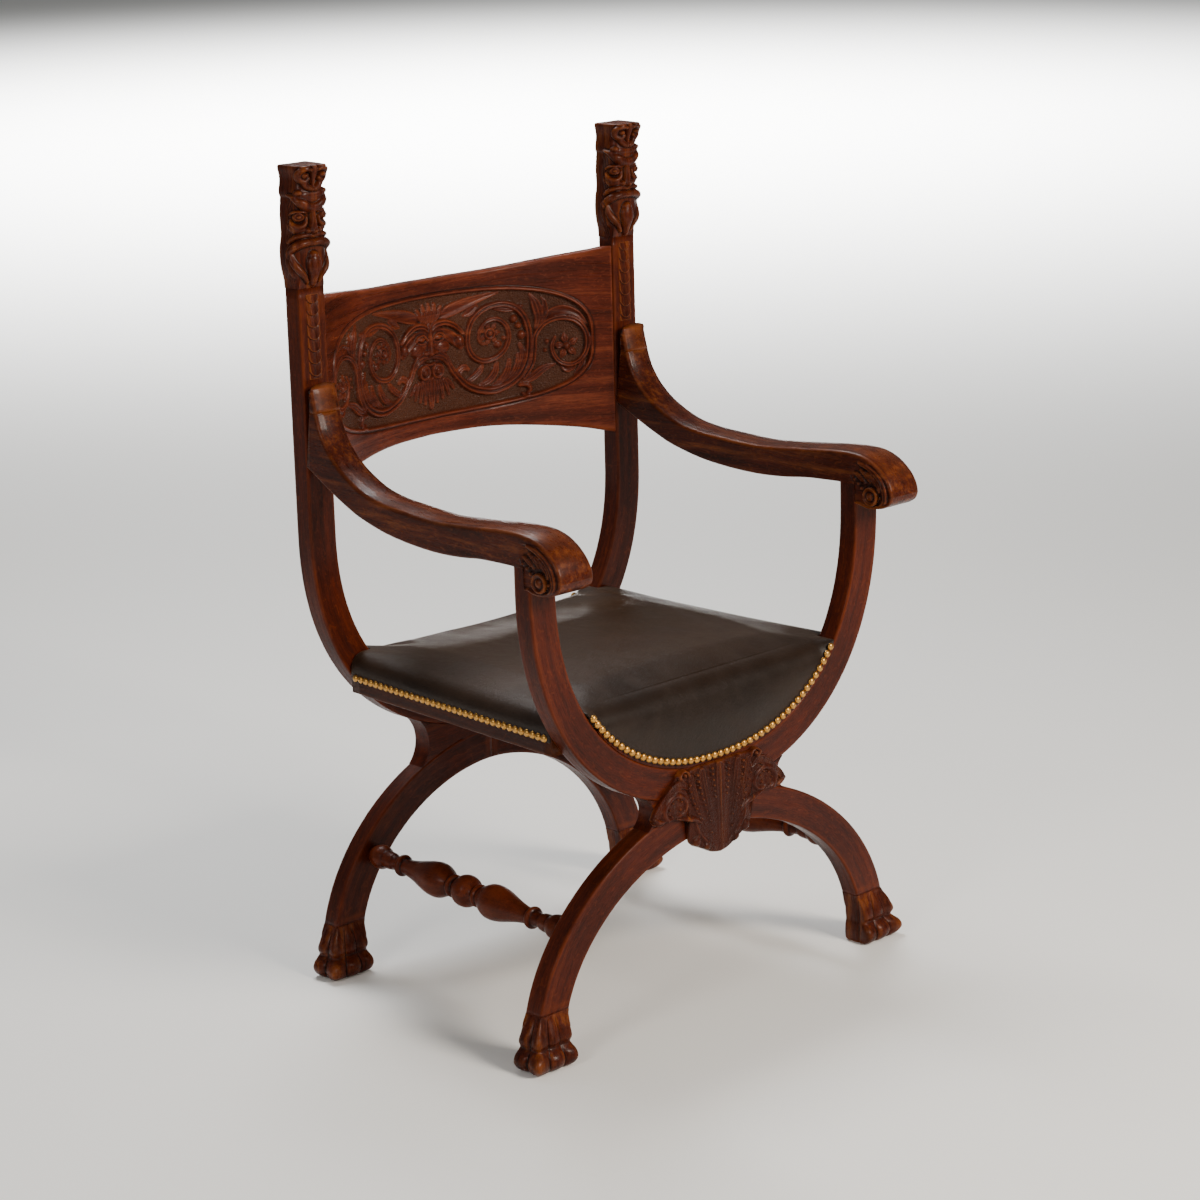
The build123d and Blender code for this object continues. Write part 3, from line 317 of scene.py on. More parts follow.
def pair(name, patches, material, nodes, **more):
    """Right-hand piece and its mirror image; nodes is the stem of the node names."""
    for side, own in (("right", patches), ("left", mirrored(patches))):
        piece(f"{name}_{side}", own, material, nodes=[f"{stem}_{side}" for stem in nodes], **more)


def run(line):
    """Distance along a line at each of its points, by the first two columns."""
    steps = np.linalg.norm(np.diff(line[:, :2], axis=0), axis=1)
    return np.concatenate([[0], np.cumsum(steps)])


def even(line, count):
    """The line again, with its points evenly spaced."""
    far = run(line)
    spots = np.linspace(0, far[-1], count)
    return np.stack([np.interp(spots, far, column) for column in line.T], -1)


def smooth_line(points, count):
    """Catmull-Rom curve through the points, evenly spaced; further columns follow the first two."""
    p = np.asarray(points, float)
    q = np.concatenate([2 * p[:1] - p[1:2], p, 2 * p[-1:] - p[-2:-1]])
    t = np.linspace(0, 1, 24, endpoint=False)[:, None]
    spans = [0.5 * (2 * b + (c - a) * t + (2 * a - 5 * b + 4 * c - d) * t ** 2
                    + (3 * b - a - 3 * c + d) * t ** 3)
             for a, b, c, d in zip(q[:-3], q[1:-2], q[2:-1], q[3:])]
    return even(np.concatenate(spans + [p[-1:]]), count)


EDGES = (np.s_[0], np.s_[-1], np.s_[:, 0], np.s_[:, -1])


def blend_in(value, low, high):
    """Smooth step from 0 at low to 1 at high."""
    t = np.clip((value - low) / (high - low), 0, 1)
    return t * t * (3 - 2 * t)


print("helpers ready")

# %% [markdown]
# ## Bent and sawn members
# The bows, legs and rails are planks between two curves, with the sharp arris taken off by a
# plane and by a century of hands. A member is a rounded rectangle carried along the pair of
# curves. The curves are superellipses, the same family as the hoop of a barrel head.

# %% Planks between two curves
def corner_ring(radius, steps=4, support=3.0):
    """Rounded rectangle as (share of width, offset, share of depth, offset) for each of its points.
    A point support mm before and after each corner keeps the sides flat."""
    ring = []
    for start, (sa, sb) in enumerate(((1, 1), (0, 1), (0, 0), (1, 0))):
        signs = np.array([2 * sa - 1, 2 * sb - 1])
        for k in range(-1, steps + 2):
            turn = pi / 2 * (start + min(max(k, 0), steps) / steps)
            spot = radius * (np.array([cos(turn), sin(turn)]) - signs)
            if k < 0 or k > steps:
                moved = (start + (k < 0)) % 2
                spot[moved] -= support * signs[moved]
            ring.append((sa, spot[0], sb, spot[1]))
    return np.array(ring)


def plank(inner, outer, y0, y1, radius=ARRIS):
    """Patches of a member between two (x, z) curves of the same count, from y0 to y1."""
    across = outer - inner
    width = np.linalg.norm(across, axis=1, keepdims=True)
    across = across / width
    middle = (inner + outer) / 2
    ring = corner_ring(radius)
    a = ring[None, :, 0] * width + ring[None, :, 1]
    b = np.broadcast_to(ring[:, 2] * (y1 - y0) + ring[:, 3], a.shape)

    def place(a, b):
        spot = inner[:, None, :] + across[:, None, :] * a[..., None]
        return np.stack([spot[..., 0], y0 + b, spot[..., 1]], -1)

    points, flat = place(a, b), place(a, np.full_like(a, (y1 - y0) / 2))
    # Planks start at different places along the grain, so that no two look alike.
    along = run(middle)[:, None] + middle[0, 0] * 3
    grain = np.stack([np.broadcast_to(along, a.shape), a, b + y0], -1)
    ends = [(np.stack([points[k], flat[k]]), np.stack([grain[k]] * 2), True) for k in (0, -1)]
    return [(points, grain, True), *ends]


def quarter(half, drop, power, z, sign, turns):
    """Superellipse quarter: x = half sin(t)^(2/power), z = z0 + sign drop cos(t)^(2/power)."""
    return np.stack([half * np.sin(turns) ** (2 / power),
                     z + sign * drop * np.cos(turns) ** (2 / power)], -1)


def hoop(distance, reach, power=BOW_POWER):
    """The other half axis of a superellipse: (1 - (distance / reach)^p)^(1/p)."""
    return (1 - (distance / reach) ** power) ** (1 / power)


def bow(half, bottom, top_z):
    """Inner and outer edge of the right half of a bow, with its straight post."""
    turns = np.linspace(0, pi / 2, 400)
    drop = SPRING_Z - bottom
    post = np.linspace(SPRING_Z, top_z, 24)[1:]
    edges = []
    for h, d in ((half - MEMBER, drop - MEMBER), (half, drop)):
        curve = even(quarter(h, d, BOW_POWER, SPRING_Z, -1, turns), 90)
        edges.append(np.concatenate([curve, np.stack([np.full(len(post), h), post], -1)]))
    return edges


def leg(outer):
    """Inner and outer edge of the right half of an arch, down to the paw."""
    rise, foot = ARCH_TOP - ARCH_SPRING, PAW_TOP - ARCH_SPRING
    edges = []
    for h, d in ((outer - LEG_FOOT, rise - ARCH_CROWN), (outer, rise)):
        last = np.arccos((foot / d) ** (ARCH_POWER / 2))
        edges.append(even(quarter(h, d, ARCH_POWER, ARCH_SPRING, 1, np.linspace(0, last, 400)), 80))
    return edges


PROUD = 0.2  # the bent members stand this much proud of the crossing blocks between them
front_faces, rear_faces = ((y - PROUD, y + BOARD + PROUD) for y in (FRONT_Y, REAR_Y))
for name, edges, faces, joint in (
        ("bent_front_bow", bow(FRONT_HALF, FRONT_BOTTOM, ARM_SEAT), front_faces, NO_JOINT),
        ("bent_rear_bow", bow(REAR_HALF, REAR_BOTTOM, HEAD_BASE), rear_faces, HEAD_BASE),
        ("arched_front_leg", leg(FRONT_LEG), front_faces, PAW_TOP),
        ("arched_rear_leg", leg(REAR_LEG), rear_faces, PAW_TOP)):
    pair(name, plank(*edges, *faces), frame_oak, [name.split("_", 1)[1]], joint=joint)

# %% [markdown]
# ## Side rails
# A rail runs from the front bow to the rear bow under the edge of the leather. It is narrower
# at the back, as the rear frame is, so its two edges are straight lines seen from above.

# %% Side rails
RAIL_X = [half * hoop(SPRING_Z - RAIL_TOP, SPRING_Z - bottom) - RAIL_INSET
          for half, bottom in ((FRONT_HALF, FRONT_BOTTOM), (REAR_HALF, REAR_BOTTOM))]


def rail():
    """The plank function draws in the XZ plane, so the rail is made lying down and turned up."""
    y = np.linspace(FRONT_Y + BOARD, REAR_Y, 24)
    x = np.interp(y, (y[0], y[-1]), RAIL_X)
    inner, outer = np.stack([x - RAIL_THICK, y], -1), np.stack([x, y], -1)
    flat = plank(inner, outer, RAIL_TOP - RAIL_HEIGHT, RAIL_TOP, 2.0)
    return [(p[0][..., [0, 2, 1]], p[1], p[2]) for p in flat]


pair("side_rail", rail(), rail_oak, ["seat_rail"])
print("rail half widths:", [round(x, 1) for x in RAIL_X])

# %% [markdown]
# ## Turned stretchers
# A stretcher is turned on a lathe: a profile of radii spun round a line. The ball, coves and
# balusters mirror each other about the middle. Turned work is smooth and catches long lights.

# %% Stretchers
def leg_sides(z, outer):
    """Inner and outer side of a leg at a height."""
    rise = ARCH_TOP - ARCH_SPRING
    return [half * hoop(z - ARCH_SPRING, reach, ARCH_POWER)
            for half, reach in ((outer - LEG_FOOT, rise - ARCH_CROWN), (outer, rise))]


def circle(axis, count):
    """Two directions square to a unit axis, and a unit circle of points in their plane."""
    side = np.cross(axis, [0.0, 0.0, 1.0])
    side /= np.linalg.norm(side)
    up = np.cross(side, axis)
    turn = np.linspace(0, 2 * pi, count, endpoint=False)[:, None]
    return side, up, np.cos(turn) * side + np.sin(turn) * up


def lathe(start, end, profile, sides=40):
    """Spins (distance, radius) pairs round the line from start to end; the ends are closed."""
    start, end = np.array(start, float), np.array(end, float)
    axis = (end - start) / np.linalg.norm(end - start)
    side, up, ring = circle(axis, sides)
    d, r = np.pad(np.array(profile, float), ((1, 1), (0, 0)), "edge").T
    r[[0, -1]] = 0
    out = r[:, None, None] * ring
    grain = np.stack([np.broadcast_to(d[:, None], out.shape[:2]), out @ side, out @ up], -1)
    return [(start + d[:, None, None] * axis + out, grain, True)]


STRETCHER_Z = 161.0
near, far = (np.array([sum(leg_sides(STRETCHER_Z, outer)) / 2, y, STRETCHER_Z])
             for outer, y in ((FRONT_LEG, FRONT_Y + BOARD), (REAR_LEG, REAR_Y)))
reach = np.linalg.norm(far - near) / 2
half_profile = [(0, 22), (5, 21.5), (10, 19.5), (15, 15), (19, 12), (23, 11.6), (25, 14.5),
                (27.5, 15.8), (30, 14.5), (32, 13.2), (36, 15), (44, 19.5), (54, 23.4), (64, 24),
                (76, 22.4), (90, 19), (104, 15.4), (118, 12.6), (130, 11), (134.5, 10.8), (137, 14),
                (140, 15.2), (143, 14), (145, 10.8), (150, 9.8), (157, 9.6), (162, 11.5),
                (reach - 36, 12.4), (reach - 32, 12.2), (reach - 29, 14), (reach - 22, 16.6),
                (reach - 14, 16.2), (reach - 7, 13.6), (reach - 3, 10.8), (reach, 10.2)]
whole_profile = [(-d, r) for d, r in reversed(half_profile)] + half_profile[1:]
turned = smooth_line([(d + reach, r) for d, r in whole_profile], 260)
pair("turned_stretcher", lathe(near, far, turned), frame_oak, ["side_stretcher"])

# %% [markdown]
# ## Carving in low relief
# The carver draws stems and leaves on the wood, sinks the ground round them and then rounds each
# one over. Here a carving is a height over its ground at every point of a grid. Each mark is a
# stroke along a smooth line or a small boss, and where marks overlap the higher one is seen, as
# on the wood. A stroke may be round, fluted like a split stem, or hollow like an acanthus leaf.

# %% Carving marks
PROFILES = {
    "round": lambda q: np.sqrt(1 - q * q),
    "fluted": lambda q: np.sqrt(1 - q * q) * (1 - 0.55 * np.exp(-(q / 0.28) ** 2)),
    "leaf": lambda q: np.sqrt(1 - q ** 6) * (0.42 + 0.58 * q * q + 0.4 * np.exp(-(q / 0.16) ** 2)),
    "scoop": lambda q: np.sqrt(1 - q ** 8) * (0.35 + 0.65 * q * q),
    "swell": lambda q: (1 - q * q) ** 1.5,
}


def meet(a, b, soft):
    """Smooth maximum: max + (r - |a - b|)^2 / 4r where they differ by less than r, which is the
    least of soft and both heights, so that a mark's edge still meets the ground cleanly."""
    r = np.maximum(np.minimum(soft, np.minimum(a, b)), 1e-6)
    return np.maximum(a, b) + np.maximum(r - np.abs(a - b), 0) ** 2 / (4 * r)


def stroke(a, b, line):
    """Distance of each point (a, b) from a line, and the number of the line's nearest sample.
    Past the ends it is the distance to the end, elsewhere it is taken square to the line."""
    spread = (a[:, None] - line[:, 0]) ** 2 + (b[:, None] - line[:, 1]) ** 2
    k = spread.argmin(1)
    way = np.gradient(line[:, :2], axis=0)
    way /= np.linalg.norm(way, axis=1, keepdims=True) + 1e-9
    side = (a - line[k, 0]) * way[k, 1] - (b - line[k, 1]) * way[k, 0]
    middle = (k > 0) & (k < len(line) - 1)
    return np.where(middle, np.abs(side), np.sqrt(spread[np.arange(len(a)), k])), k


def carve(a, b, marks, soft=0.8):
    """Height in mm over the ground at each point of the arrays a and b.
    A boss is (centre, radii): rise sqrt(1 - q). A hollow takes rise (1 - q)^2 away. A button is a
    flatter boss, rise sqrt(1 - q^3), with a ring sunk into it. A stroke is
    a list of (a, b, half width); its rise shrinks with the root of its width. Marks less than
    soft mm apart in height run together."""
    height = np.zeros(a.shape)
    for kind, rise, points in marks:
        if kind in ("boss", "hollow", "button"):
            for ca, cb, ra, rb in points:
                q = ((a - ca) / ra) ** 2 + ((b - cb) / rb) ** 2
                if kind == "hollow":
                    height -= rise * np.clip(1 - q, 0, 1) ** 2
                elif kind == "button":
                    ring = 1 - 0.5 * np.exp(-((np.sqrt(q) - 0.55) / 0.16) ** 2)
                    height = meet(height, rise * np.sqrt(np.clip(1 - q ** 3, 0, 1)) * ring, soft)
                else:
                    height = meet(height, rise * np.sqrt(np.clip(1 - q, 0, 1)), soft)
            continue
        points = np.asarray(points, float)
        line = smooth_line(points, max(8, int(run(points)[-1])))
        wide = line[:, 2].max()
        near = ((a > line[:, 0].min() - wide) & (a < line[:, 0].max() + wide)
                & (b > line[:, 1].min() - wide) & (b < line[:, 1].max() + wide))
        if not near.any():
            continue
        far, k = stroke(a[near], b[near], line)
        half = np.maximum(line[k, 2], 0.3)
        q = np.clip(far / half, 0, 1)
        height[near] = meet(height[near], rise * np.sqrt(half / wide) * PROFILES[kind](q), soft)
    return height


print("kinds of stroke:", list(PROFILES))

# %% [markdown]
# ## The barrel back board
# The board is bent like a barrel stave between the back posts. Its carving lies in a sunk oval
# inside a double line: a leafy mask in the middle and a scroll of acanthus on each side. The
# marks are written for one half, in millimetres along the arc and up, and mirrored. The front
# is one fine grid; the back is plain, so its grid is coarse, and an edge strip joins the two.

# %% Marks of the back board
def petals(ca, cb, count, inner, outer, half, start=0.0):
    """Strokes that radiate from a centre, each from the inner to the outer radius."""
    turns = [start + 2 * pi * k / count for k in range(count)]
    spots = [(inner, half * 0.5), ((inner + outer) / 2, half), (outer, half * 0.45)]
    return [[(ca + r * cos(t), cb + r * sin(t), w) for r, w in spots] for t in turns]


SCROLL = [(30, 806, 4), (36, 792, 5), (46, 778, 5.5), (62, 762, 6), (82, 753, 6.5), (104, 750, 6.5),
          (126, 756, 6.5), (144, 768, 6.2), (155, 786, 6), (159, 808, 5.8), (159, 830, 5.6),
          (153, 850, 5.4), (141, 864, 5.2), (124, 871, 5), (104, 871, 5), (86, 865, 5),
          (72, 853, 4.8), (65, 836, 4.8), (65, 817, 4.8), (73, 802, 4.8), (88, 794, 4.8),
          (106, 796, 4.6), (121, 806, 4.4), (129, 823, 4.2), (125, 841, 4), (112, 851, 3.8),
          (97, 850, 3.5), (86, 841, 3.3), (82, 828, 3), (87, 819, 2.6), (95, 818, 2.2)]
BRANCH = [(150, 764, 4), (162, 782, 5), (166, 802, 5), (168, 820, 4.6), (177, 834, 4.4),
          (190, 842, 4.4), (208, 845, 4.4), (226, 841, 4.4), (239, 830, 4.4), (245, 814, 4.4),
          (243, 796, 4.2), (234, 783, 4), (220, 777, 4), (205, 781, 3.8), (196, 792, 3.6),
          (193, 806, 3.2), (198, 817, 2.6)]
LOBES = [[(42, 774, 2.5), (48, 784, 5), (57, 789, 5), (64, 785, 3)],
         [(58, 767, 2.5), (70, 772, 5), (81, 780, 5), (86, 787, 3.2)],
         [(80, 759, 2.5), (95, 765, 5.5), (105, 776, 5.5), (109, 788, 3.6)],
         [(103, 757, 2.5), (116, 765, 5), (125, 777, 5), (128, 790, 3.6)],
         [(123, 762, 2.5), (134, 772, 4.6), (141, 785, 4.6), (142, 798, 3.2)],
         [(139, 774, 2.5), (146, 787, 4.2), (149, 800, 4.2), (145, 812, 3)]]
MASK = [
    ("boss", 4.5, [(0, 826, 34, 40), (0, 852, 26, 14)]),
    ("boss", 6.5, [(23, 823, 13, 11), (12, 792, 12, 12)]),
    ("hollow", 2.5, [(16, 839, 11, 8)]),
    ("boss", 6.5, [(15, 838, 7.5, 4.6)]),
    ("round", 7.8, [(5, 836, 1.5), (13, 844, 1.7), (23, 842, 1.5), (27, 836, 1.2)]),
    ("round", 6.6, [(6, 834, 1.2), (14, 831.5, 1.4), (24, 834, 1.2)]),
    ("round", 10.5, [(0, 856, 3.6), (0, 842, 4.4), (0, 828, 6), (0, 819, 8)]),
    ("round", 8, [(5, 818, 4.5), (11, 818, 4)]),
    ("fluted", 8.5, [(3, 850, 4), (12, 856, 5), (28, 857, 5), (44, 850, 4.4), (57, 838, 3)]),
    ("scoop", 7.5, [(10, 846, 3), (26, 842, 7), (42, 832, 8), (53, 820, 5)]),
    ("boss", 8, [(51, 827, 8, 10)]),
    ("leaf", 8.5, [(2, 812, 4), (14, 813, 6), (26, 807, 6), (33, 796, 3)]),
    ("hollow", 5, [(0, 806, 13, 4)]),
    ("round", 6, [(0, 801, 2.4), (8, 802.5, 2.2)]),
    ("button", 8.5, [(12, 791, 11.5, 11.5)]),
    ("fluted", 6, [(3, 780, 4), (3.5, 762, 4), (0.5, 740, 3)]),
    ("fluted", 5.5, [(9, 779, 3.6), (11, 764, 4), (11, 747, 2.6)]),
    ("fluted", 5.5, [(16, 778, 3.6), (19, 765, 4), (21, 751, 2.6)]),
    ("fluted", 5.5, [(23, 777, 3.4), (28, 766, 4), (31, 755, 2.6)]),
    ("fluted", 5, [(29, 776, 3), (35, 769, 3.6), (40, 762, 2.2)]),
    ("leaf", 8, [(0, 862, 3), (0, 874, 4.6), (0, 886, 2.6)]),
    ("leaf", 7.5, [(5, 862, 3), (9, 873, 4.6), (11, 885, 2.6)]),
    ("leaf", 7, [(9, 861, 3), (16, 870, 4.4), (22, 880, 2.4)]),
]
ACANTHUS = [
    ("scoop", 6.5, [(18, 864, 4), (34, 871, 9), (56, 877, 9), (82, 883, 6), (114, 889, 2)]),
    ("scoop", 6, [(60, 862, 3), (69, 866, 6), (80, 873, 3)]),
    ("fluted", 7, SCROLL),
    ("leaf", 6.5, LOBES),
    ("leaf", 6, [(150, 866, 2.5), (128, 864, 5), (104, 868, 2.5)]),
    ("boss", 6, [(137, 849, 6.5, 6), (143.5, 839, 5.5, 5), (148, 825, 6.5, 7)]),
    ("button", 7, [(99, 832, 9, 9)]),
    ("leaf", 5.5, petals(99, 832, 7, 7, 16, 4)),
    ("boss", 4.5, [(112, 815, 7, 6), (121, 823, 4, 4)]),
    ("fluted", 7, BRANCH),
    ("leaf", 7, [(170, 828, 2.5), (175, 848, 7), (171, 866, 7.5), (163, 882, 2)]),
    ("scoop", 6, [(174, 838, 2.5), (183, 852, 5.5), (184, 868, 3.5), (180, 876, 1.5)]),
    ("scoop", 6.5, [(182, 843, 3), (194, 853, 6.5), (212, 856, 7), (231, 849, 5), (244, 835, 2)]),
    ("leaf", 6.5, [(146, 757, 3), (162, 763, 6.5), (178, 773, 6), (197, 779, 2)]),
    ("round", 5.5, [(143, 753, 3), (154, 753, 4.5), (159, 746, 4), (153, 738, 4), (147, 741, 2.4)]),
    ("scoop", 5.5, [(205, 778, 2), (214, 770, 4.5), (224, 772, 3.5)]),
    ("leaf", 5.5, [(238, 790, 2), (236, 775, 4.5), (226, 762, 2)]),
    ("leaf", 7, petals(214, 804, 5, 5, 17, 5.5, 0.5)),
    ("boss", 7.5, [(214, 804, 6, 6)]),
    ("boss", 4.5, [(186, 812, 4, 4), (183, 800, 3.2, 3.2), (252, 800, 2.6, 2.6)]),
]


def several(marks):
    """Marks whose points are a list of strokes, written out one by one."""
    flat = []
    for kind, rise, points in marks:
        nested = isinstance(points[0], list)
        flat += [(kind, rise, one) for one in points] if nested else [(kind, rise, points)]
    return flat


print("marks on one half of the board:", len(several(MASK + ACANTHUS)))

# %% Back board
OVAL_HALF, OVAL_RISE, OVAL_Z, OVAL_POWER = 256.0, 89.0, 813.0, 3.0
FIELD_DEPTH, FIELD_LOW, FIELD_TOP = 5.0, 721.0, 905.0


def into_oval(s, z):
    """Distance inside the oval's edge: (1 - g) over the slope of the superellipse norm g."""
    u, v = np.abs(s) / OVAL_HALF, np.abs(z - OVAL_Z) / OVAL_RISE
    g = np.maximum((u ** OVAL_POWER + v ** OVAL_POWER) ** (1 / OVAL_POWER), 1e-6)
    slope = np.hypot((u / g) ** (OVAL_POWER - 1) / OVAL_HALF,
                     (v / g) ** (OVAL_POWER - 1) / OVAL_RISE)
    return (1 - g) / np.maximum(slope, 1e-6)


def board_relief(s, z):
    """Height of the front over its face, and the share of matted ground: 0 on the face, a groove
    and two raised lines round the oval, the ground 5 mm down, and the carving on the ground."""
    inside = into_oval(s, z)
    line = 2.2 * np.exp(-((inside - 4.5) / 1.9) ** 2) - 1.8 * np.exp(-((inside - 0.6) / 0.9) ** 2)
    floor = -FIELD_DEPTH * blend_in(inside, 5.5, 9.0)
    half = np.abs(s + 4 * np.exp(-(s / 70) ** 2))
    live = inside > 4
    height = np.zeros(s.shape)
    height[live] = carve(half[live], z[live], several(ACANTHUS + MASK))
    height *= blend_in(inside, 4, 8)
    rough = np.random.default_rng(7).normal(0, 0.16, s.shape)
    ground = blend_in(inside, 6.5, 8.5) * (1 - blend_in(height, 0.4, 1.6))
    return floor + line + height + rough * ground, ground


def coarse(line, step):
    """The points of an edge moved to every step-th one, where a coarse grid joins a fine one."""
    k = np.round(np.arange(len(line)) / step).astype(int) * step
    return line[np.minimum(k, len(line) - 1)]


def plate(front, back, grain, ground=0.0, step=1):
    """A front grid and a plain back, of every step-th row and column, joined by edge strips."""
    few = np.s_[::step, ::step]
    patches = [(front, grain, False, np.broadcast_to(ground, front.shape[:2])),
               (back[few], grain[few], False)]
    for edge in EDGES:
        strip = np.stack([front[edge], coarse(back[edge], step)])
        patches.append((strip, np.stack([grain[edge]] * 2), False))
    return patches


def back_board():
    """The rows are level inside the oval and spread to the board's edges above and below it.
    Its face is bent to a barrel: x = R sin(s / R), y = middle + R cos(s / R)."""
    reach = PANEL_R * np.arcsin(POST_INNER / PANEL_R)
    s = np.linspace(-reach, reach, 481)
    share = np.sin(np.abs(s) / PANEL_R) * PANEL_R / POST_INNER
    top = smooth_line([(0, 920), (0.42, 923), (0.84, 936), (1, 944)], 50)
    low = smooth_line([(0, 702), (0.4, 699), (0.8, 686), (1, 674)], 50)
    top, low = np.interp(share, *top.T), np.interp(share, *low.T)
    rows = np.concatenate([np.linspace(0, 1, 13)[:-1], np.linspace(1, 2, 157),
                           np.linspace(2, 3, 13)[1:]])
    level = np.stack([low, np.full_like(s, FIELD_LOW), np.full_like(s, FIELD_TOP), top])
    below = np.minimum(rows.astype(int), 2)
    z = level[below] + (rows - below)[:, None] * (level[below + 1] - level[below])
    s = np.broadcast_to(s, z.shape)
    height, ground = board_relief(s, z)
    edge_fall = np.minimum(np.minimum(z - low, top - z), reach - np.abs(s))
    height = height - 1.6 * (1 - np.sqrt(np.clip(edge_fall / 2.0, 0, 1)))

    def place(s, z, r):
        turn = s / PANEL_R
        return np.stack([r * np.sin(turn), PANEL_Y + PANEL_SAG - PANEL_R + r * np.cos(turn), z], -1)

    front = place(s, z, PANEL_R - height)
    grain = np.stack([s, z, height], -1)
    back = place(s, z, np.full_like(s, PANEL_R + PANEL_THICK))
    return plate(front, back, grain, ground, 12)


piece("carved_back_board", back_board(), board_oak, nodes=["back_panel"], wear=(10, 1.6))

# %% [markdown]
# ## Arms
# Each arm is sawn to an S-curve and ends in a scroll in front of its post. Its top is rounded
# over by hand and rubbed pale by sleeves. Seen from the side the arm lies between a top line
# and an underside, so stations that join the two give the side faces, and rings carried from one
# side to the other give the rounded top. The scroll is carved on both side faces.

# %% Arms
ARM_TOP = [(-66, 650), (-63.5, 662), (-55, 676), (-40, 689), (-20, 698.5), (4, 702.5), (40, 702),
           (107, 696), (180, 691), (250, 694), (288, 697), (325, 704.5), (362, 721), (385, 737),
           (402, 755), (416, 780), (429, 829)]
SCROLL_UNDER = [(-66, 650), (-63, 642), (-56, 636), (-44, 631.5), (-20, 629), (0, 634)]
ARM_UNDER = [(29, 660), (84, 657), (124, 652.5), (165, 650), (206, 650.5), (250, 653.5), (290, 659),
             (333, 669), (359, 678), (398, 695), (444, 718)]


ARM_OVERHANG, ARM_WIDER, ARM_CROWN = 10.0, 13.0, 2.6
ARM_PLANK = 2000.0  # the arms come from another place in the plank than the bows


def arm_sides(y):
    """Inner and outer x of the right arm, wider from the back post (share 0) to the front (1)."""
    share = np.clip((REAR_Y - y) / PITCH, 0, 1)
    outer = REAR_HALF + (FRONT_HALF + ARM_OVERHANG - REAR_HALF) * share
    return outer - MEMBER - ARM_WIDER * share, outer


def in_plank(points):
    """Grain of an arm: it runs from front to back."""
    return points[..., [1, 2, 0]] + (ARM_PLANK, 0, 0)


SCROLL_MARKS = several([
    ("button", 4.5, [(-30, 647, 12.5, 12.5)]),
    ("boss", 5.5, [(-30, 647, 4.5, 4.5)]),
    ("fluted", 3.2, [(-30, 631, 2), (-45, 634, 3.2), (-54, 645, 3.8), (-52, 661, 4), (-42, 675, 4),
                     (-26, 685, 3.6), (-8, 690, 2)]),
    ("scoop", 3.0, [[(-44, 655, 1.5), (-42, 664, 3), (-34, 672, 2)],
                    [(-38, 663, 1.5), (-33, 671, 3), (-24, 678, 2)],
                    [(-29, 666, 1.5), (-22, 674, 3), (-12, 681, 2)],
                    [(-20, 664, 1.5), (-12, 670, 3), (-2, 676, 2)]]),
    ("boss", 2.6, [(-14, 656, 2.6, 2.6), (-8, 662, 2.4, 2.4), (-1, 667, 2.2, 2.2),
                   (-46, 647, 2, 2)]),
])


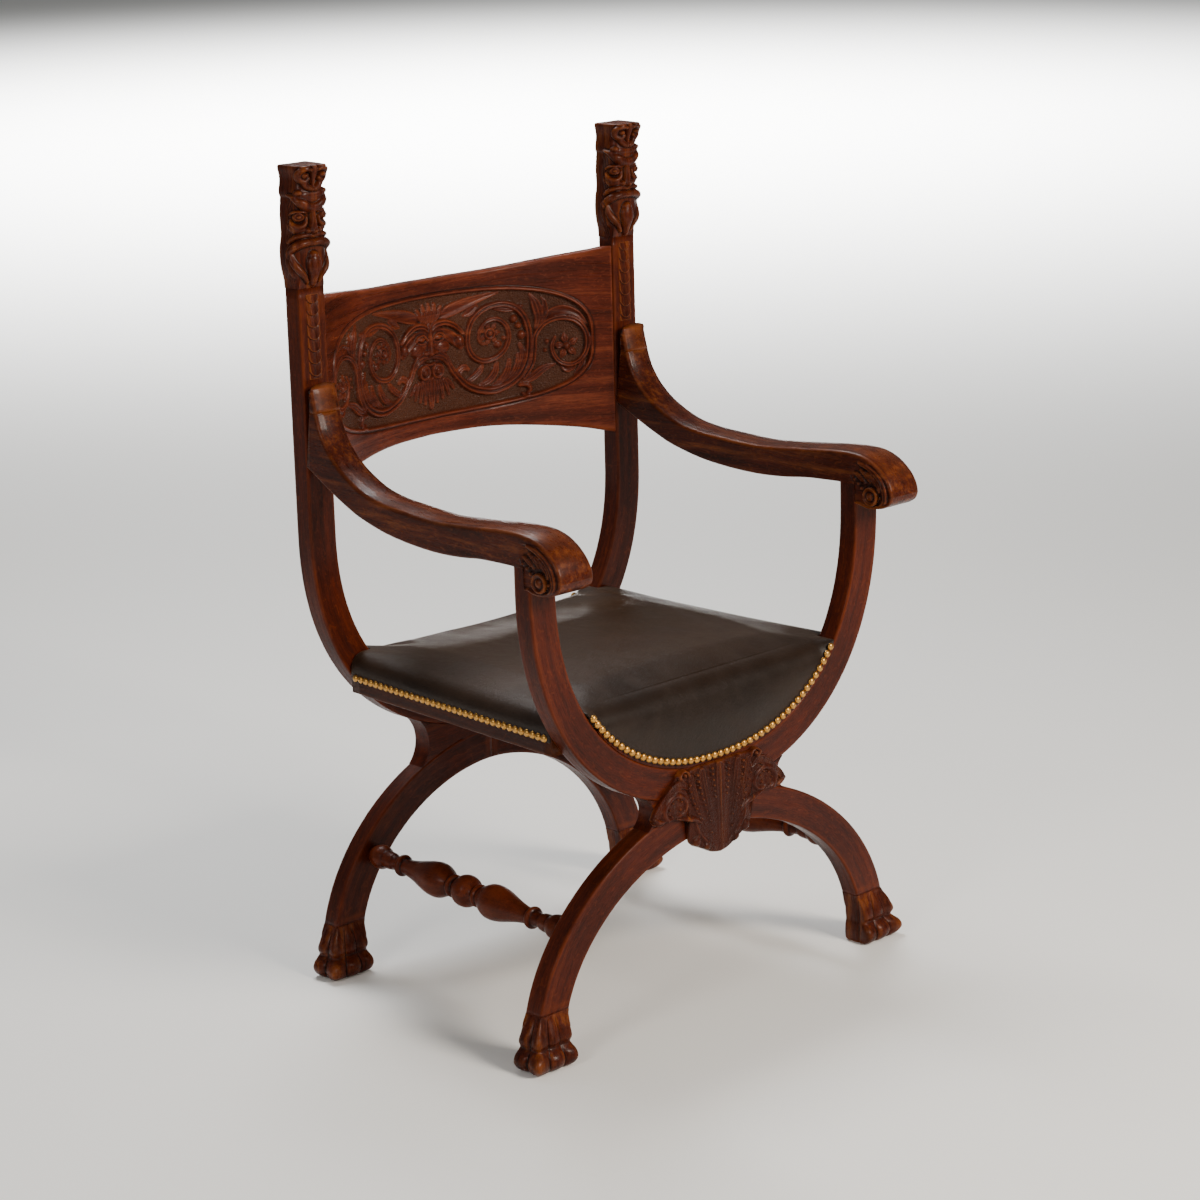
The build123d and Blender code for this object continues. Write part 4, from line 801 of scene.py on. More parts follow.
def arm():
    """Patches of the right arm: two carved side faces and rings that round its top and underside.
    A ring is (place across, share of the rounding across, share inwards, share of the crown)."""
    # Columns along the scroll, up the front of the bow, over its top and along the rest of the arm.
    counts = (70, 12, 8, 90)
    top = smooth_line(ARM_TOP, 900)
    cuts = [0, *(int(np.argmin(np.abs(top[:, 0] - y))) for y in (0, 18, 33)), len(top) - 1]
    upper = np.concatenate([top[np.linspace(a, b, n + 1).astype(int)][:-1]
                            for a, b, n in zip(cuts, cuts[1:], counts)] + [top[-1:]])
    lower = np.concatenate([
        smooth_line(SCROLL_UNDER, counts[0] + 1)[:-1],
        np.linspace((0, 634), (0, 660), counts[1] + 1)[:-1],
        np.linspace((0, 660), (29, 660), counts[2] + 1)[:-1],
        smooth_line(ARM_UNDER, counts[3] + 1)])
    rows = 44
    # The edges are rounded by this much, but are nearly sharp where the arm sits on the bow.
    wide, narrow, sharp = 5.0, 3.0, 0.4
    up_round = np.full(len(upper), wide)
    up_round[:30] = np.linspace(narrow, wide, 30)
    low_round = np.concatenate([
        np.full(counts[0] - 6, narrow), np.linspace(narrow, sharp, 6),
        np.full(sum(counts[1:3]), sharp),
        np.linspace(sharp, narrow, 12), np.full(counts[3] - 11, narrow)])

    def outward(line, sign):
        way = np.gradient(line, axis=0)
        way /= np.linalg.norm(way, axis=1, keepdims=True) + 1e-9
        return sign * np.stack([-way[:, 1], way[:, 0]], -1)

    up_out, low_out = outward(upper, 1), outward(lower, -1)
    up_out[0] = low_out[0] = (-1, 0)
    up_out[-1], low_out[-1] = (0, 1), (-0.4, -1)
    crown = ARM_CROWN * blend_in(np.arange(len(upper)), 0, 30)

    def loop(inwards, crowned):
        """The two lines moved inwards, and the closed outline that a back edge makes of them."""
        a = upper + up_out * (crown * crowned - up_round * inwards)[:, None]
        b = lower - low_out * (low_round * inwards)[:, None]
        return a, b, np.concatenate([a, np.linspace(a[-1], b[-1], rows)[1:-1], b[::-1][:-1]])

    curve = np.linspace(0, pi / 2, 6)
    rings = [(1, 1 - cos(t), 1 - sin(t), 0.0) for t in curve]
    rings += [(u, None, 0.0, 1 - (2 * u - 1) ** 2)
              for u in (0.86, 0.74, 0.62, 0.5, 0.38, 0.26, 0.14)]
    rings += [(0, 1 - cos(t), 1 - sin(t), 0.0) for t in curve[::-1]]
    widths = np.concatenate([up_round, np.full(rows - 2, narrow), low_round[::-1][:-1]])
    shell = []
    for side, across, inwards, crowned in rings:
        line = loop(inwards, crowned)[2]
        inner, outer = arm_sides(line[:, 0] + FRONT_Y)
        if across is None:
            x = inner + narrow + (outer - inner - 2 * narrow) * side
        else:
            x = outer - widths * across if side else inner + widths * across
        shell.append(np.stack([x, line[:, 0] + FRONT_Y, line[:, 1]], -1))
    shell = np.stack(shell)
    patches = [(shell, in_plank(shell), True)]
    a, b, _ = loop(1.0, 0.0)
    share = np.linspace(0, 1, rows)[:, None]
    face = a[:, None] * (1 - share) + b[:, None] * share
    depth = np.linalg.norm(a - b, axis=1)[:, None]
    edge = np.minimum(np.minimum(share, 1 - share).T * depth / 2.5, 1)
    carved = carve(face[..., 0], face[..., 1], SCROLL_MARKS) * edge
    dish = 1.6 * blend_in(-face[..., 0], -8, 6) * blend_in(edge, 0.2, 1.0) * (face[..., 1] < 690)
    inner, outer = arm_sides(face[..., 0] + FRONT_Y)
    for sign, x in ((1, outer), (-1, inner)):
        x = x + sign * (carved - dish * (carved < 0.2))
        points = np.stack([x, face[..., 0] + FRONT_Y, face[..., 1]], -1)
        patches.append((points, in_plank(points), False))
    return patches


JOINT = 0.25
for side, patches in (("right", arm()), ("left", mirrored(arm()))):
    piece(f"scrolled_arm_{side}", patches, arm_oak, nodes=[f"arm_{side}"], wear=(8, 0.9),
          below=SHOULDER_Z - JOINT)
    piece(f"arm_shoulder_block_{side}", patches, arm_oak, nodes=[f"arm_shoulder_{side}"],
          wear=(8, 0.9), above=SHOULDER_Z + JOINT)

# %% [markdown]
# ## Scroll bosses, scale strips and plugs
# A turned boss sits in the eye of each scroll. Down the face of each back post runs a strip of
# overlapping scales, like fish scales, in a shallow sunk band: each scale rises towards its
# rounded lower edge and drops to the next one. Wooden plugs hide the screws behind the arms.

# %% Bosses and plugs
def turned_button(centre, out, profile, sides=36):
    """Patches of a turned boss on a face, from a profile of (distance out, radius)."""
    centre, out, root = np.array(centre, float), np.array(out, float), -profile[0][0]
    return lathe(centre - root * out, centre + out, [(d + root, r) for d, r in profile], sides)


BOSS = [(-2, 12.6), (2.4, 12.8), (3.8, 12.3), (4.5, 11.2), (4.4, 10.0), (3.2, 8.8), (2.3, 7.4),
        (2.4, 6.2), (3.6, 5.2), (4.9, 3.6), (5.4, 1.8), (5.5, 0.4)]
PLUG = [(-8, 5.98), (-0.1, 5.98), (0.25, 5.7), (0.45, 4.0), (0.5, 0.4)]
EYE_Y, EYE_Z = FRONT_Y - 30, 647.0
inner, outer = arm_sides(EYE_Y)
bosses, plugs = [], []
for sign in (1, -1):
    bosses += turned_button((sign * outer, EYE_Y, EYE_Z), (sign, 0, 0), BOSS)
    bosses += turned_button((sign * inner, EYE_Y, EYE_Z), (-sign, 0, 0), BOSS)
    for z in (SHOULDER_Z - 52, SHOULDER_Z - 22, SHOULDER_Z + 18):
        plugs += turned_button((sign * POST_X, REAR_Y + BOARD, z), (0, 1, 0), PLUG, 24)
piece("scroll_bosses", bosses, carved_oak, nodes=["arm_rosettes"])
piece("post_plugs", plugs, carved_oak, nodes=["screw_plugs"])

# %% Scale strips
SCALES, SCALE_PITCH, SCALE_HALF, SCALE_ROUND = 7, 16.0, 10.5, 10.8
SCALE_TOP, SCALE_SUNK = 947.0, 0.5


def scale_strip():
    """Front at y = post + sunk - rise. The rise in each scale is 0.6 + 2.9 f^0.7, where f goes from
    0 at its top to 1 at its round lower edge, less a little towards its sides, and with ribs."""
    low = SCALE_TOP - SCALES * SCALE_PITCH
    across, up = np.meshgrid(np.linspace(-SCALE_HALF, SCALE_HALF, 29),
                             np.linspace(low, SCALE_TOP, 281))
    sag = SCALE_ROUND - np.sqrt(SCALE_ROUND ** 2 - np.clip(np.abs(across), 0, 10.4) ** 2)
    share = ((SCALE_TOP + 4 - up + np.minimum(sag, 9)) / SCALE_PITCH) % 1.0
    rise = 0.6 + 2.9 * share ** 0.7 - 0.05 * np.abs(across) + 0.3 * np.cos(across / 1.7) * share
    fall = np.clip((SCALE_HALF - np.abs(across)) / 1.2, 0, 1)
    rise = rise * (0.25 + 0.75 * np.sqrt(fall))
    front = np.stack([across + POST_X, REAR_Y + SCALE_SUNK - rise, up], -1)
    back = np.stack([across + POST_X, np.full_like(up, REAR_Y + 3), up], -1)
    return plate(front, back, front[..., [2, 0, 1]])


pair("scales_on_post", scale_strip(), carved_oak, ["scale_strip"], wear=(5, 0.5))

# %% [markdown]
# ## Leather seat
# The cover is one hide stretched over a horsehair pad. It turns down over the side rails and, in
# front and behind, down into the half moon inside the bow. It is close-nailed all round, slit
# and tucked in where the bows pass. The sheet is laid out flat over the frame first. Blender's
# cloth then blows it up a little from inside while its edges are held, as stuffing does, and
# the movement is capped so that the cover keeps its height.

# %% Sheet of the seat
SKIRT, FRONT_ROUND, SIDE_ROUND, HIDE = RAIL_TOP - 10, 29.0, 21.0, 1.8
CROWN, DIP = 6.0, 16.0
SEAT_START, PAD_LOW = SEAT_TOP - 3.0, RAIL_TOP + 5.9
# The hide keeps clear of the frames by a gap at its slits, and its faces stand before them.
GAP = 0.4
FRONT_FACE, REAR_FACE = FRONT_Y - 2.1, REAR_Y + BOARD + 2.1
OPEN_FRONT, OPEN_REAR = ((half - MEMBER - GAP, SPRING_Z - bottom - MEMBER - 4)
                         for half, bottom in ((FRONT_HALF, FRONT_BOTTOM), (REAR_HALF, REAR_BOTTOM)))


def moon(x, half, drop):
    """Height of a half moon's curve: z = spring - drop (1 - (x / half)^p)^(1/p)."""
    return SPRING_Z - drop * hoop(np.minimum(np.abs(x), half), half)


def half_moon(share, opening):
    """Width and lower edge of a seat face."""
    half, drop = opening
    x = half * hoop(SPRING_Z - SEAT_START, drop) * share
    return x, moon(x, half, drop)


def fold(height, radius, rows, bend):
    """Side view of a face that turns over into the top: (set back, height) from its foot up."""
    rise = np.maximum(height - radius, 0.0)
    r = np.minimum(radius, height)
    up = np.linspace(0, 1, rows)[:-1, None] * rise
    turn = np.linspace(0, pi / 2, bend)[:, None]
    back = np.concatenate([np.zeros_like(up), r * (1 - np.cos(turn))])
    return back, np.concatenate([up, rise + r * np.sin(turn)])


def seat_sheet():
    """Three grids: the middle from the front face over the top to the rear face, and two sides."""
    share = np.linspace(-1, 1, 75)
    share = 0.35 * np.sin(pi / 2 * share) + 0.65 * share
    front_x, front_low = half_moon(share, OPEN_FRONT)
    rear_x, rear_low = half_moon(share, OPEN_REAR)
    flat = 1 - share ** 2
    dip = DIP * flat
    set_back, height = fold(SEAT_START - front_low, FRONT_ROUND, 12, 10)
    front = np.stack([np.broadcast_to(front_x, height.shape), FRONT_FACE + set_back,
                      front_low + height], -1)
    set_back, height = fold(SEAT_START - dip - rear_low, FRONT_ROUND - dip, 12, 10)
    rear = np.stack([np.broadcast_to(rear_x, height.shape), REAR_FACE - set_back,
                     rear_low + height], -1)
    slits = FRONT_Y + BOARD + GAP, REAR_Y - GAP
    y = np.concatenate([np.linspace(FRONT_FACE + FRONT_ROUND, slits[0], 5)[1:-1],
                        np.linspace(*slits, 62),
                        np.linspace(slits[1], REAR_FACE - FRONT_ROUND, 5)[1:-1]])
    wide = np.interp(y, (FRONT_Y, REAR_Y + BOARD), (front_x[-1], rear_x[-1]))
    worn = blend_in(y, REAR_Y - 150, REAR_FACE - FRONT_ROUND)
    depth = (y - FRONT_FACE) / (REAR_FACE - FRONT_FACE)
    level = SEAT_START + (4 * CROWN * depth * (1 - depth) - DIP * worn)[:, None] * flat
    top = np.stack([share * wide[:, None], np.broadcast_to(y[:, None], level.shape), level], -1)
    middle = np.concatenate([front, top, rear[::-1]])
    rows = top[3:-3, -1]
    out = np.interp(rows[:, 1], (FRONT_Y + BOARD, REAR_Y), RAIL_X)[:, None] + 0.3 + HIDE
    turn = np.linspace(0, pi / 2, 8)
    across = np.concatenate([
        rows[:, :1] + (out - SIDE_ROUND - rows[:, :1]) * np.linspace(0, 1, 5)[:-1],
        out - SIDE_ROUND + SIDE_ROUND * np.sin(turn), np.repeat(out, 5, 1)], 1)
    below = (SEAT_START - SIDE_ROUND - SKIRT) * np.linspace(0.2, 1, 5)
    drop = np.concatenate([np.zeros(4), SIDE_ROUND * (1 - np.cos(turn)), SIDE_ROUND + below])
    side = np.stack([across, np.broadcast_to(rows[:, 1:2], across.shape),
                     np.broadcast_to(SEAT_START - drop, across.shape)], -1)
    return [(middle, None, False), (side, None, False), (side * FLIP, None, False)]


# The skirts hang outside SKIRT_X. The hide is held for NAILED mm over the edge of a half moon,
# and for TURNED mm back from its face where it turns in beside a bow.
SKIRT_X, NAILED, TURNED = 240.0, 13.0, 32.0


def held(points):
    """True where the hide is nailed or tucked in: along the half moons, the skirts and the bows."""
    x, y, z = np.abs(points[:, 0]), points[:, 1], points[:, 2]
    tied = (z < SKIRT + 6) & (x > SKIRT_X)
    for opening, face in ((OPEN_FRONT, FRONT_FACE), (OPEN_REAR, REAR_FACE)):
        rim = moon(x, *opening)
        tied |= (np.abs(y - face) < 1) & (z < rim + NAILED)
        tied |= (np.abs(y - face) < TURNED) & (z < rim + 2)
    return tied


def simulate(thing, frames, pressure, cap):
    """Cloth with pressure and no gravity; each point moves at most cap mm from where it began."""
    mesh, scene = thing.data, bpy.context.scene
    before = read(mesh.vertices, "co", 3)
    pins = thing.vertex_groups.new(name="held")
    pins.add(np.flatnonzero(held(before / MM)).tolist(), 1.0, "REPLACE")
    settings = thing.modifiers.new("hide", "CLOTH").settings
    settings.vertex_group_mass = "held"
    settings.quality, settings.mass = 6, 0.5
    settings.tension_stiffness = settings.compression_stiffness = 60
    settings.bending_stiffness = 8
    settings.use_pressure, settings.uniform_pressure_force = True, pressure
    settings.effector_weights.gravity = 0
    for number in range(1, frames + 1):
        scene.frame_set(number)
    blown = thing.evaluated_get(bpy.context.evaluated_depsgraph_get()).to_mesh()
    move = read(blown.vertices, "co", 3) - before
    thing.modifiers.clear()
    scene.frame_set(1)
    far = np.linalg.norm(move, axis=1, keepdims=True) + 1e-9
    print("largest movement, mm:", round(float(far.max()) / MM, 1))
    mesh.vertices.foreach_set("co", (before + move * np.minimum(1, cap * MM / far)).ravel())
    mesh.update()


def stuffing():
    """The middle sheet drawn in and lowered by 4 mm over a flat bottom, closed by four strips."""
    sheet = seat_sheet()[0][0][:, ::2] * (0.985, 1, 1)
    top = np.stack([sheet[..., 0], np.clip(sheet[..., 1], FRONT_Y + 4, REAR_Y + BOARD - 4),
                    np.maximum(sheet[..., 2] - 4, PAD_LOW + 0.3)], -1)
    bottom = top * (1, 1, 0) + (0, 0, PAD_LOW)
    strips = [np.stack([top[edge], bottom[edge]]) for edge in EDGES]
    return [(grid, None, False) for grid in (top, bottom, *strips)]


print("rows and columns of the middle:", seat_sheet()[0][0].shape)

# %% [markdown]
# ## Hide, brass and jute
# The hide is upholstery leather, dyed black-brown through and waxed. It has a fine pebble with
# shallow creases, a soft sheen, and it is greyer where it has been sat on. The nails are cast
# brass, once lacquered: golden on the crowns, brown in the gaps. Under the seat are plain woven
# stuffs: jute webbing and burlap.

# %% Leather, brass and cloth
def hide_leather():
    """Pebbles 1.4 mm wide, creases 9 mm apart: coarser than life, so that they show."""
    material, tree, shader = new_material("waxed_black_hide")
    place = add(tree, "TexCoord", out="Object")
    clouds = add(tree, "TexNoise", Vector=place, Scale=7.0, Detail=3.0, Roughness=0.55)
    sat_on = add(tree, "Mapping", Vector=place, Scale=(30, 12, 30))
    scuffs = add(tree, "TexNoise", Vector=sat_on, Scale=1.0, Detail=5.0, Roughness=0.65)
    tone = add(tree, "ValToRGB", stops=[(0.3, "#140C08"), (0.55, "#1E140E"), (0.8, "#2A1D15")],
               Fac=clouds)
    rubbed = add(tree, "MapRange", Value=scuffs, n1=0.5, n2=0.8, n3=0.0, n4=0.45)
    tone = add(tree, "Mix", MIX, 2, n0=rubbed, n6=tone, n7="#2C211A")
    rough = add(tree, "MapRange", Value=scuffs, n1=0.3, n2=0.75, n3=0.34, n4=0.52)
    pebble = add(tree, "TexVoronoi", CELL_EDGES, "Distance", Vector=place, Scale=720.0)
    creases = add(tree, "TexNoise", Vector=place, Scale=110.0, Detail=6.0, Roughness=0.7,
                  Distortion=0.8)
    fine = add(tree, "Bump", Height=pebble, Strength=0.25, Distance=0.0005)
    bump = add(tree, "Bump", Height=creases, Strength=0.3, Distance=0.0016, Normal=fine)
    connect(tree, shader, Base_Color=tone, Roughness=rough, IOR=1.5, Specular_IOR_Level=0.18,
            Sheen_Weight=0.12, Sheen_Tint="#B88C66", Sheen_Roughness=0.5, Normal=bump)
    return material


def aged_metal(name, bright, brown, roughness, scale):
    """Metal with a patina: bright on crowns, brown where the noise and the wear are low."""
    material, tree, shader = new_material(name)
    place = add(tree, "TexCoord", out="Object")
    spots = add(tree, "TexNoise", Vector=place, Scale=scale, Detail=4.0, Roughness=0.6)
    wear = add(tree, "Attribute", WEAR, "Fac")
    level = add(tree, "Math", TIMES_PLUS, n0=wear, n1=0.35, n2=spots)
    tone = add(tree, "ValToRGB", stops=[(0.32, brown), (0.62, bright)], Fac=level)
    rough = add(tree, "MapRange", Value=level, n1=0.3, n2=0.8, n3=roughness + 0.22, n4=roughness)
    dents = add(tree, "Bump", Height=spots, Strength=0.15, Distance=0.0004)
    connect(tree, shader, Base_Color=tone, Roughness=rough, Metallic=1.0, Normal=dents)
    return material


WAVE = 0.314  # metres from one wave to the next in a wave texture of scale 1


def woven(name, dark, light, thread):
    """Plain weave: the product of two waves, one for each set of threads, which lie thread metres
    apart."""
    material, tree, shader = new_material(name)
    place = add(tree, "TexCoord", out="Object")
    warp, weft = (add(tree, "TexWave", (("bands_direction", direction),), "Fac", Vector=place,
                      Scale=WAVE / thread, Distortion=0.6, Detail=2.0, Detail_Scale=2.0)
                  for direction in "XY")
    height = add(tree, "Math", TIMES, n0=warp, n1=weft)
    stains = add(tree, "TexNoise", Vector=place, Scale=22.0, Detail=4.0)
    threads, stained = (add(tree, "ValToRGB", stops=[(low, dark), (high, light)], Fac=value)
                        for low, high, value in ((0.1, 0.8, height), (0.3, 0.7, stains)))
    tone = add(tree, "Mix", MIX, 2, n0=0.5, n6=threads, n7=stained)
    bump = add(tree, "Bump", Height=height, Strength=0.6, Distance=0.0008)
    connect(tree, shader, Base_Color=tone, Roughness=0.92, Normal=bump)
    return material


leather = hide_leather()
brass = aged_metal("antique_cast_brass", "#BE8E4A", "#6A4620", 0.36, 420.0)
steel = aged_metal("screw_steel", "#A9A7A2", "#5E5850", 0.38, 300.0)
jute = woven("jute_webbing", "#6E5636", "#A78B5E", 0.0030)
burlap = woven("burlap_under_pad", "#5F4B2F", "#957A50", 0.0018)
felt = woven("horsehair_pad", "#2B231B", "#4A3D2F", 0.0040)
print("materials:", len(bpy.data.materials))

# %% Seat
seat = piece("nailed_leather_seat", seat_sheet(), leather, slot="black_leather",
             nodes=["seat_leather"], wear=(8, 1.5), weld=0.05)
# The sheet is open, so its normals may come out facing down: then they are turned over.
if max(p.normal.z for p in seat.data.polygons) < 0.9:
    seat.data.flip_normals()
simulate(seat, 20, 3.0, 9.0)
thick = seat.modifiers.new("hide_thickness", "SOLIDIFY")
thick.thickness, thick.offset = HIDE * MM, -1.0
finer = seat.modifiers.new("finer", "SUBSURF")
finer.levels = finer.render_levels = 1
piece("horsehair_stuffing", stuffing(), felt, slot="horsehair_pad", nodes=["seat_pad"],
      wear=(2, 1.5), weld=0.05)
print("seat top:", round(max(v.co.z for v in seat.data.vertices) / MM, 1))

# %% [markdown]
# ## Brass nails
# Dome-headed nails stand shoulder to shoulder along the edge of the hide. Each is a low dome,
# a shallow cap of a sphere, set by hand, so no two lean quite alike.

# %% Nails
NAIL_RADIUS, NAIL_HEIGHT, NAIL_PITCH, NAIL_INSET = 5.4, 4.0, 11.2, 10.0


def dome(spot, out, lean):
    """Dome of rings at shares s of its height, with radius r (1 - s^2)^0.5, leant a little."""
    out = np.asarray(out, float) + lean
    out /= np.linalg.norm(out)
    rise = np.array([0, 0.08, 0.3, 0.6, 0.85, 1.0])[:, None, None]
    ring = (NAIL_RADIUS * np.sqrt(1 - rise ** 2) + 0.01) * circle(out, 12)[2]
    points = spot + NAIL_HEIGHT * rise * out + ring
    return np.concatenate([np.broadcast_to(spot, points[:1].shape), points]), None, True


def nail_row(spots, out, seed):
    """One dome at each spot, all facing out."""
    lean = np.random.default_rng(seed).normal(0, 0.05, (len(spots), 3))
    return [dome(spot, out, tilt) for spot, tilt in zip(spots, lean)]


def moon_spots(half, bottom, face):
    """Spots on a curve 10 mm above that of the bow, from the middle out, a pitch apart."""
    wide, drop = half - MEMBER - 2, SPRING_Z - bottom - MEMBER - NAIL_INSET
    x = np.linspace(0, wide * hoop(SPRING_Z - SEAT_TOP + NAIL_INSET, drop), 2001)
    line = np.stack([x, moon(x, wide, drop)], -1)
    far = run(line)
    stops = np.arange(NAIL_PITCH / 2, far[-1], NAIL_PITCH)
    x, z = (np.interp(stops, far, column) for column in line.T)
    right = np.stack([x, np.full_like(x, face), z], -1)
    return np.concatenate([right, right * FLIP])


def side_spots():
    """Spots along the right side rail, evenly spaced and centred between the frames."""
    start, end = (np.array((x + HIDE + 0.3, y, RAIL_TOP - 5))
                  for x, y in zip(RAIL_X, (FRONT_Y + BOARD, REAR_Y)))
    length = np.linalg.norm(end - start)
    count = int((length - NAIL_PITCH) / NAIL_PITCH)
    stops = (length - (count - 1) * NAIL_PITCH) / 2 + NAIL_PITCH * np.arange(count)
    return start + stops[:, None] * (end - start) / length


for end, spots, out, seed in (
        ("front", moon_spots(FRONT_HALF, FRONT_BOTTOM, FRONT_Y - 2.2), (0, -1, 0), 1),
        ("rear", moon_spots(REAR_HALF, REAR_BOTTOM, REAR_Y + BOARD + 2.2), (0, 1, 0), 2),
        ("right", side_spots(), (1, 0, 0), 3),
        ("left", side_spots() * FLIP, (-1, 0, 0), 3)):
    piece(f"brass_nails_{end}", nail_row(spots, out, seed), brass, "brass_nails", [f"nails_{end}"],
          wear=(3, 0.5))

# %% [markdown]
# ## Lion paws
# Each leg ends in a paw of two tiers: knuckles that grow out of the leg, and broad toes on the
# floor. The leg's own section is widened at the front and the outer side by an amount that
# changes with height, and four toes are cut into it as ripples with sharp clefts between.

# %% Paws
FLARE = [(0, 9), (3, 13), (8, 17), (15, 19), (22, 16.5), (27, 12), (31, 8.6), (34, 8.8), (38, 10.4),
         (43, 10.2), (50, 8), (58, 4.8), (66, 1.6), (PAW_TOP, 0)]
CLEFT = [(0, 3), (8, 6), (17, 7.5), (24, 6), (30, 2.5), (36, 5), (43, 6), (53, 4.6), (63, 2.6),
         (PAW_TOP, 0)]


ANKLE = 36.0  # below this height the leg inside the paw goes straight down


def paw(outer, face):
    """Distance from an upright axis: the smooth minimum, -log(sum(exp(-k d))) / k, of the sides
    of the widened section, plus ripples |sin(pi q)|^0.5, where q counts the toes by angle."""
    turn = np.linspace(-pi, pi, 180, endpoint=False)[None, :]
    z = np.concatenate([[0.0, 0.6], np.linspace(1.5, PAW_TOP, 74)])[:, None]
    inner, outer_side = leg_sides(np.maximum(z, ANKLE), outer)
    axis = (outer - LEG_FOOT + MEMBER / 2, face + BOARD / 2)
    ux, uy = np.cos(turn), np.sin(turn)
    flare, depth = (np.interp(z, *smooth_line(line, 200).T) for line in (FLARE, CLEFT))

    def until(distance, facing):
        return np.where(facing > 1e-3, distance / np.maximum(facing, 1e-3), 1e3)

    sides = [until(outer_side + flare - axis[0], ux), until(axis[0] - inner + flare * 0.2, -ux),
             until(BOARD / 2, uy), until(BOARD / 2 + flare, -uy)]
    soft = np.interp(z, [0, 50, PAW_TOP - 2], [0.24, 0.27, 1.4])
    r = -np.log(sum(np.exp(-soft * s) for s in sides)) / soft
    toe = np.interp(np.degrees(turn), [-150, -99, -54, -13, 24], [0, 1, 2, 3, 4])
    carved = blend_in(np.degrees(turn), -160, -140) * (1 - blend_in(np.degrees(turn), 20, 30))
    r = r + depth * carved * (np.abs(np.sin(pi * toe)) ** 0.5 - 0.75)
    r = np.minimum(r, until(BOARD / 2, uy))
    r = r * (1 - 0.08 * np.clip(1 - z / 4, 0, 1) ** 2)
    points = np.stack([axis[0] + r * ux, axis[1] + r * uy, np.broadcast_to(z, r.shape)], -1)
    caps = [np.stack([points[k], np.broadcast_to([[*axis, float(z[k, 0])]], points[k].shape)])
            for k in (0, -1)]
    return [(grid, grid[..., [2, 0, 1]], True) for grid in (points, *caps)]


pair("lion_paw_front", paw(FRONT_LEG, FRONT_Y), carved_oak, ["paw_front"], wear=(8, 0.9),
     joint=PAW_TOP)
pair("lion_paw_rear", paw(REAR_LEG, REAR_Y), carved_oak, ["paw_rear"], wear=(8, 0.9), joint=PAW_TOP)

# %% [markdown]
# ## Cartouche
# A carved shield of leaves covers the crossing in front: a fan of fluted lobes with rows of
# beads between, a scroll on each side and a small tip. Its back is flat on the frame.

# %% Cartouche
SHIELD_HALF = 126.0
SHIELD_TOP = [(0, 338), (40, 338), (57, 337), (66, 341), (76, 337), (84, 328), (96, 320),
              (108, 308), (120, 296), (126, 285)]
SHIELD_LOW = [(0, 211), (14, 214), (28, 221), (40, 227), (52, 233), (59, 243), (57, 256), (60, 266),
              (74, 273), (92, 277), (108, 273), (120, 277), (126, 285)]
SIDE_SCROLL = [(38, 262, 3), (52, 270, 4.5), (70, 272.5, 5), (88, 274.5, 5), (101, 282, 5),
               (104, 294, 4.8), (96, 305, 4.5), (82, 309, 4.2), (69, 303, 4), (64, 292, 3.6),
               (70, 283, 3.2), (81, 281, 2.8), (88, 287, 2.4), (86, 295, 2)]
SHIELD = several([
    ("boss", 3.5, [(0, 262, 60, 62)]),
    ("boss", 3.0, [(84, 292, 34, 26)]),
    ("leaf", 6.5, [(0, 218, 4), (0, 250, 7), (0, 285, 8.5), (0, 312, 9), (0, 333, 7)]),
    ("leaf", 6, [(8, 228, 3), (17, 255, 5), (25, 285, 6.5), (31, 310, 7), (34, 330, 6)]),
    ("leaf", 5.5, [(14, 230, 3), (30, 256, 5), (42, 283, 6), (50, 306, 6.5), (54, 327, 5)]),
    ("swell", 6, [(12, 222, 3), (28, 234, 5), (42, 250, 6), (48, 266, 3)]),
    ("boss", 7, [(15.5, 331, 2.3, 2.3), (15, 323, 2.3, 2.3), (14.2, 315, 2.2, 2.2),
                 (13, 307, 2.2, 2.2), (11.8, 299, 2.1, 2.1), (10.4, 291, 2, 2), (43, 328, 2.4, 2.4),
                 (41.5, 319, 2.3, 2.3), (39.5, 310, 2.3, 2.3), (36.6, 301.5, 2.2, 2.2),
                 (33.6, 293, 2.2, 2.2), (30.5, 284.5, 2.1, 2.1), (27.3, 276, 2, 2), (24, 268, 2, 2),
                 (20.6, 260, 1.9, 1.9), (57, 318, 2.4, 2.4), (56, 308.5, 2.3, 2.3),
                 (53.5, 299.5, 2.3, 2.3), (50, 291, 2.2, 2.2), (46, 283, 2.1, 2.1),
                 (41.6, 275, 2, 2), (37, 267, 2, 2)]),
    ("boss", 6.5, [(34, 240, 2.4, 2.4), (25, 232, 2.4, 2.4), (43, 244, 2.4, 2.4),
                   (19, 244, 2.2, 2.2)]),
    ("boss", 7, [(46, 237, 8, 8), (27, 226, 7.5, 7)]),
    ("round", 7, SIDE_SCROLL),
    ("scoop", 6.5, [(58, 314, 3), (74, 322, 6), (92, 314, 8), (108, 302, 7.5), (119, 289, 5),
                    (124, 283, 2)]),
    ("round", 6.5, [(104, 279, 2), (114, 281, 4), (122, 286, 3)]),
    ("round", 7, [(58, 331, 2.4), (62, 338, 3.2), (70, 340, 3.6), (75.5, 333.5, 3.4),
                  (71, 327.5, 3)]),
    ("boss", 8, [(67, 333, 3.8, 3.6)]),
    ("boss", 7, [(74, 300, 2, 2), (81, 304, 2, 2), (90, 301, 2, 2), (96, 293, 2, 2),
                 (93, 284, 2, 2), (77, 290, 3.2, 3.2)]),
    ("leaf", 5.5, [(62, 262, 1.5), (72, 265, 3), (84, 269, 1.5)]),
])


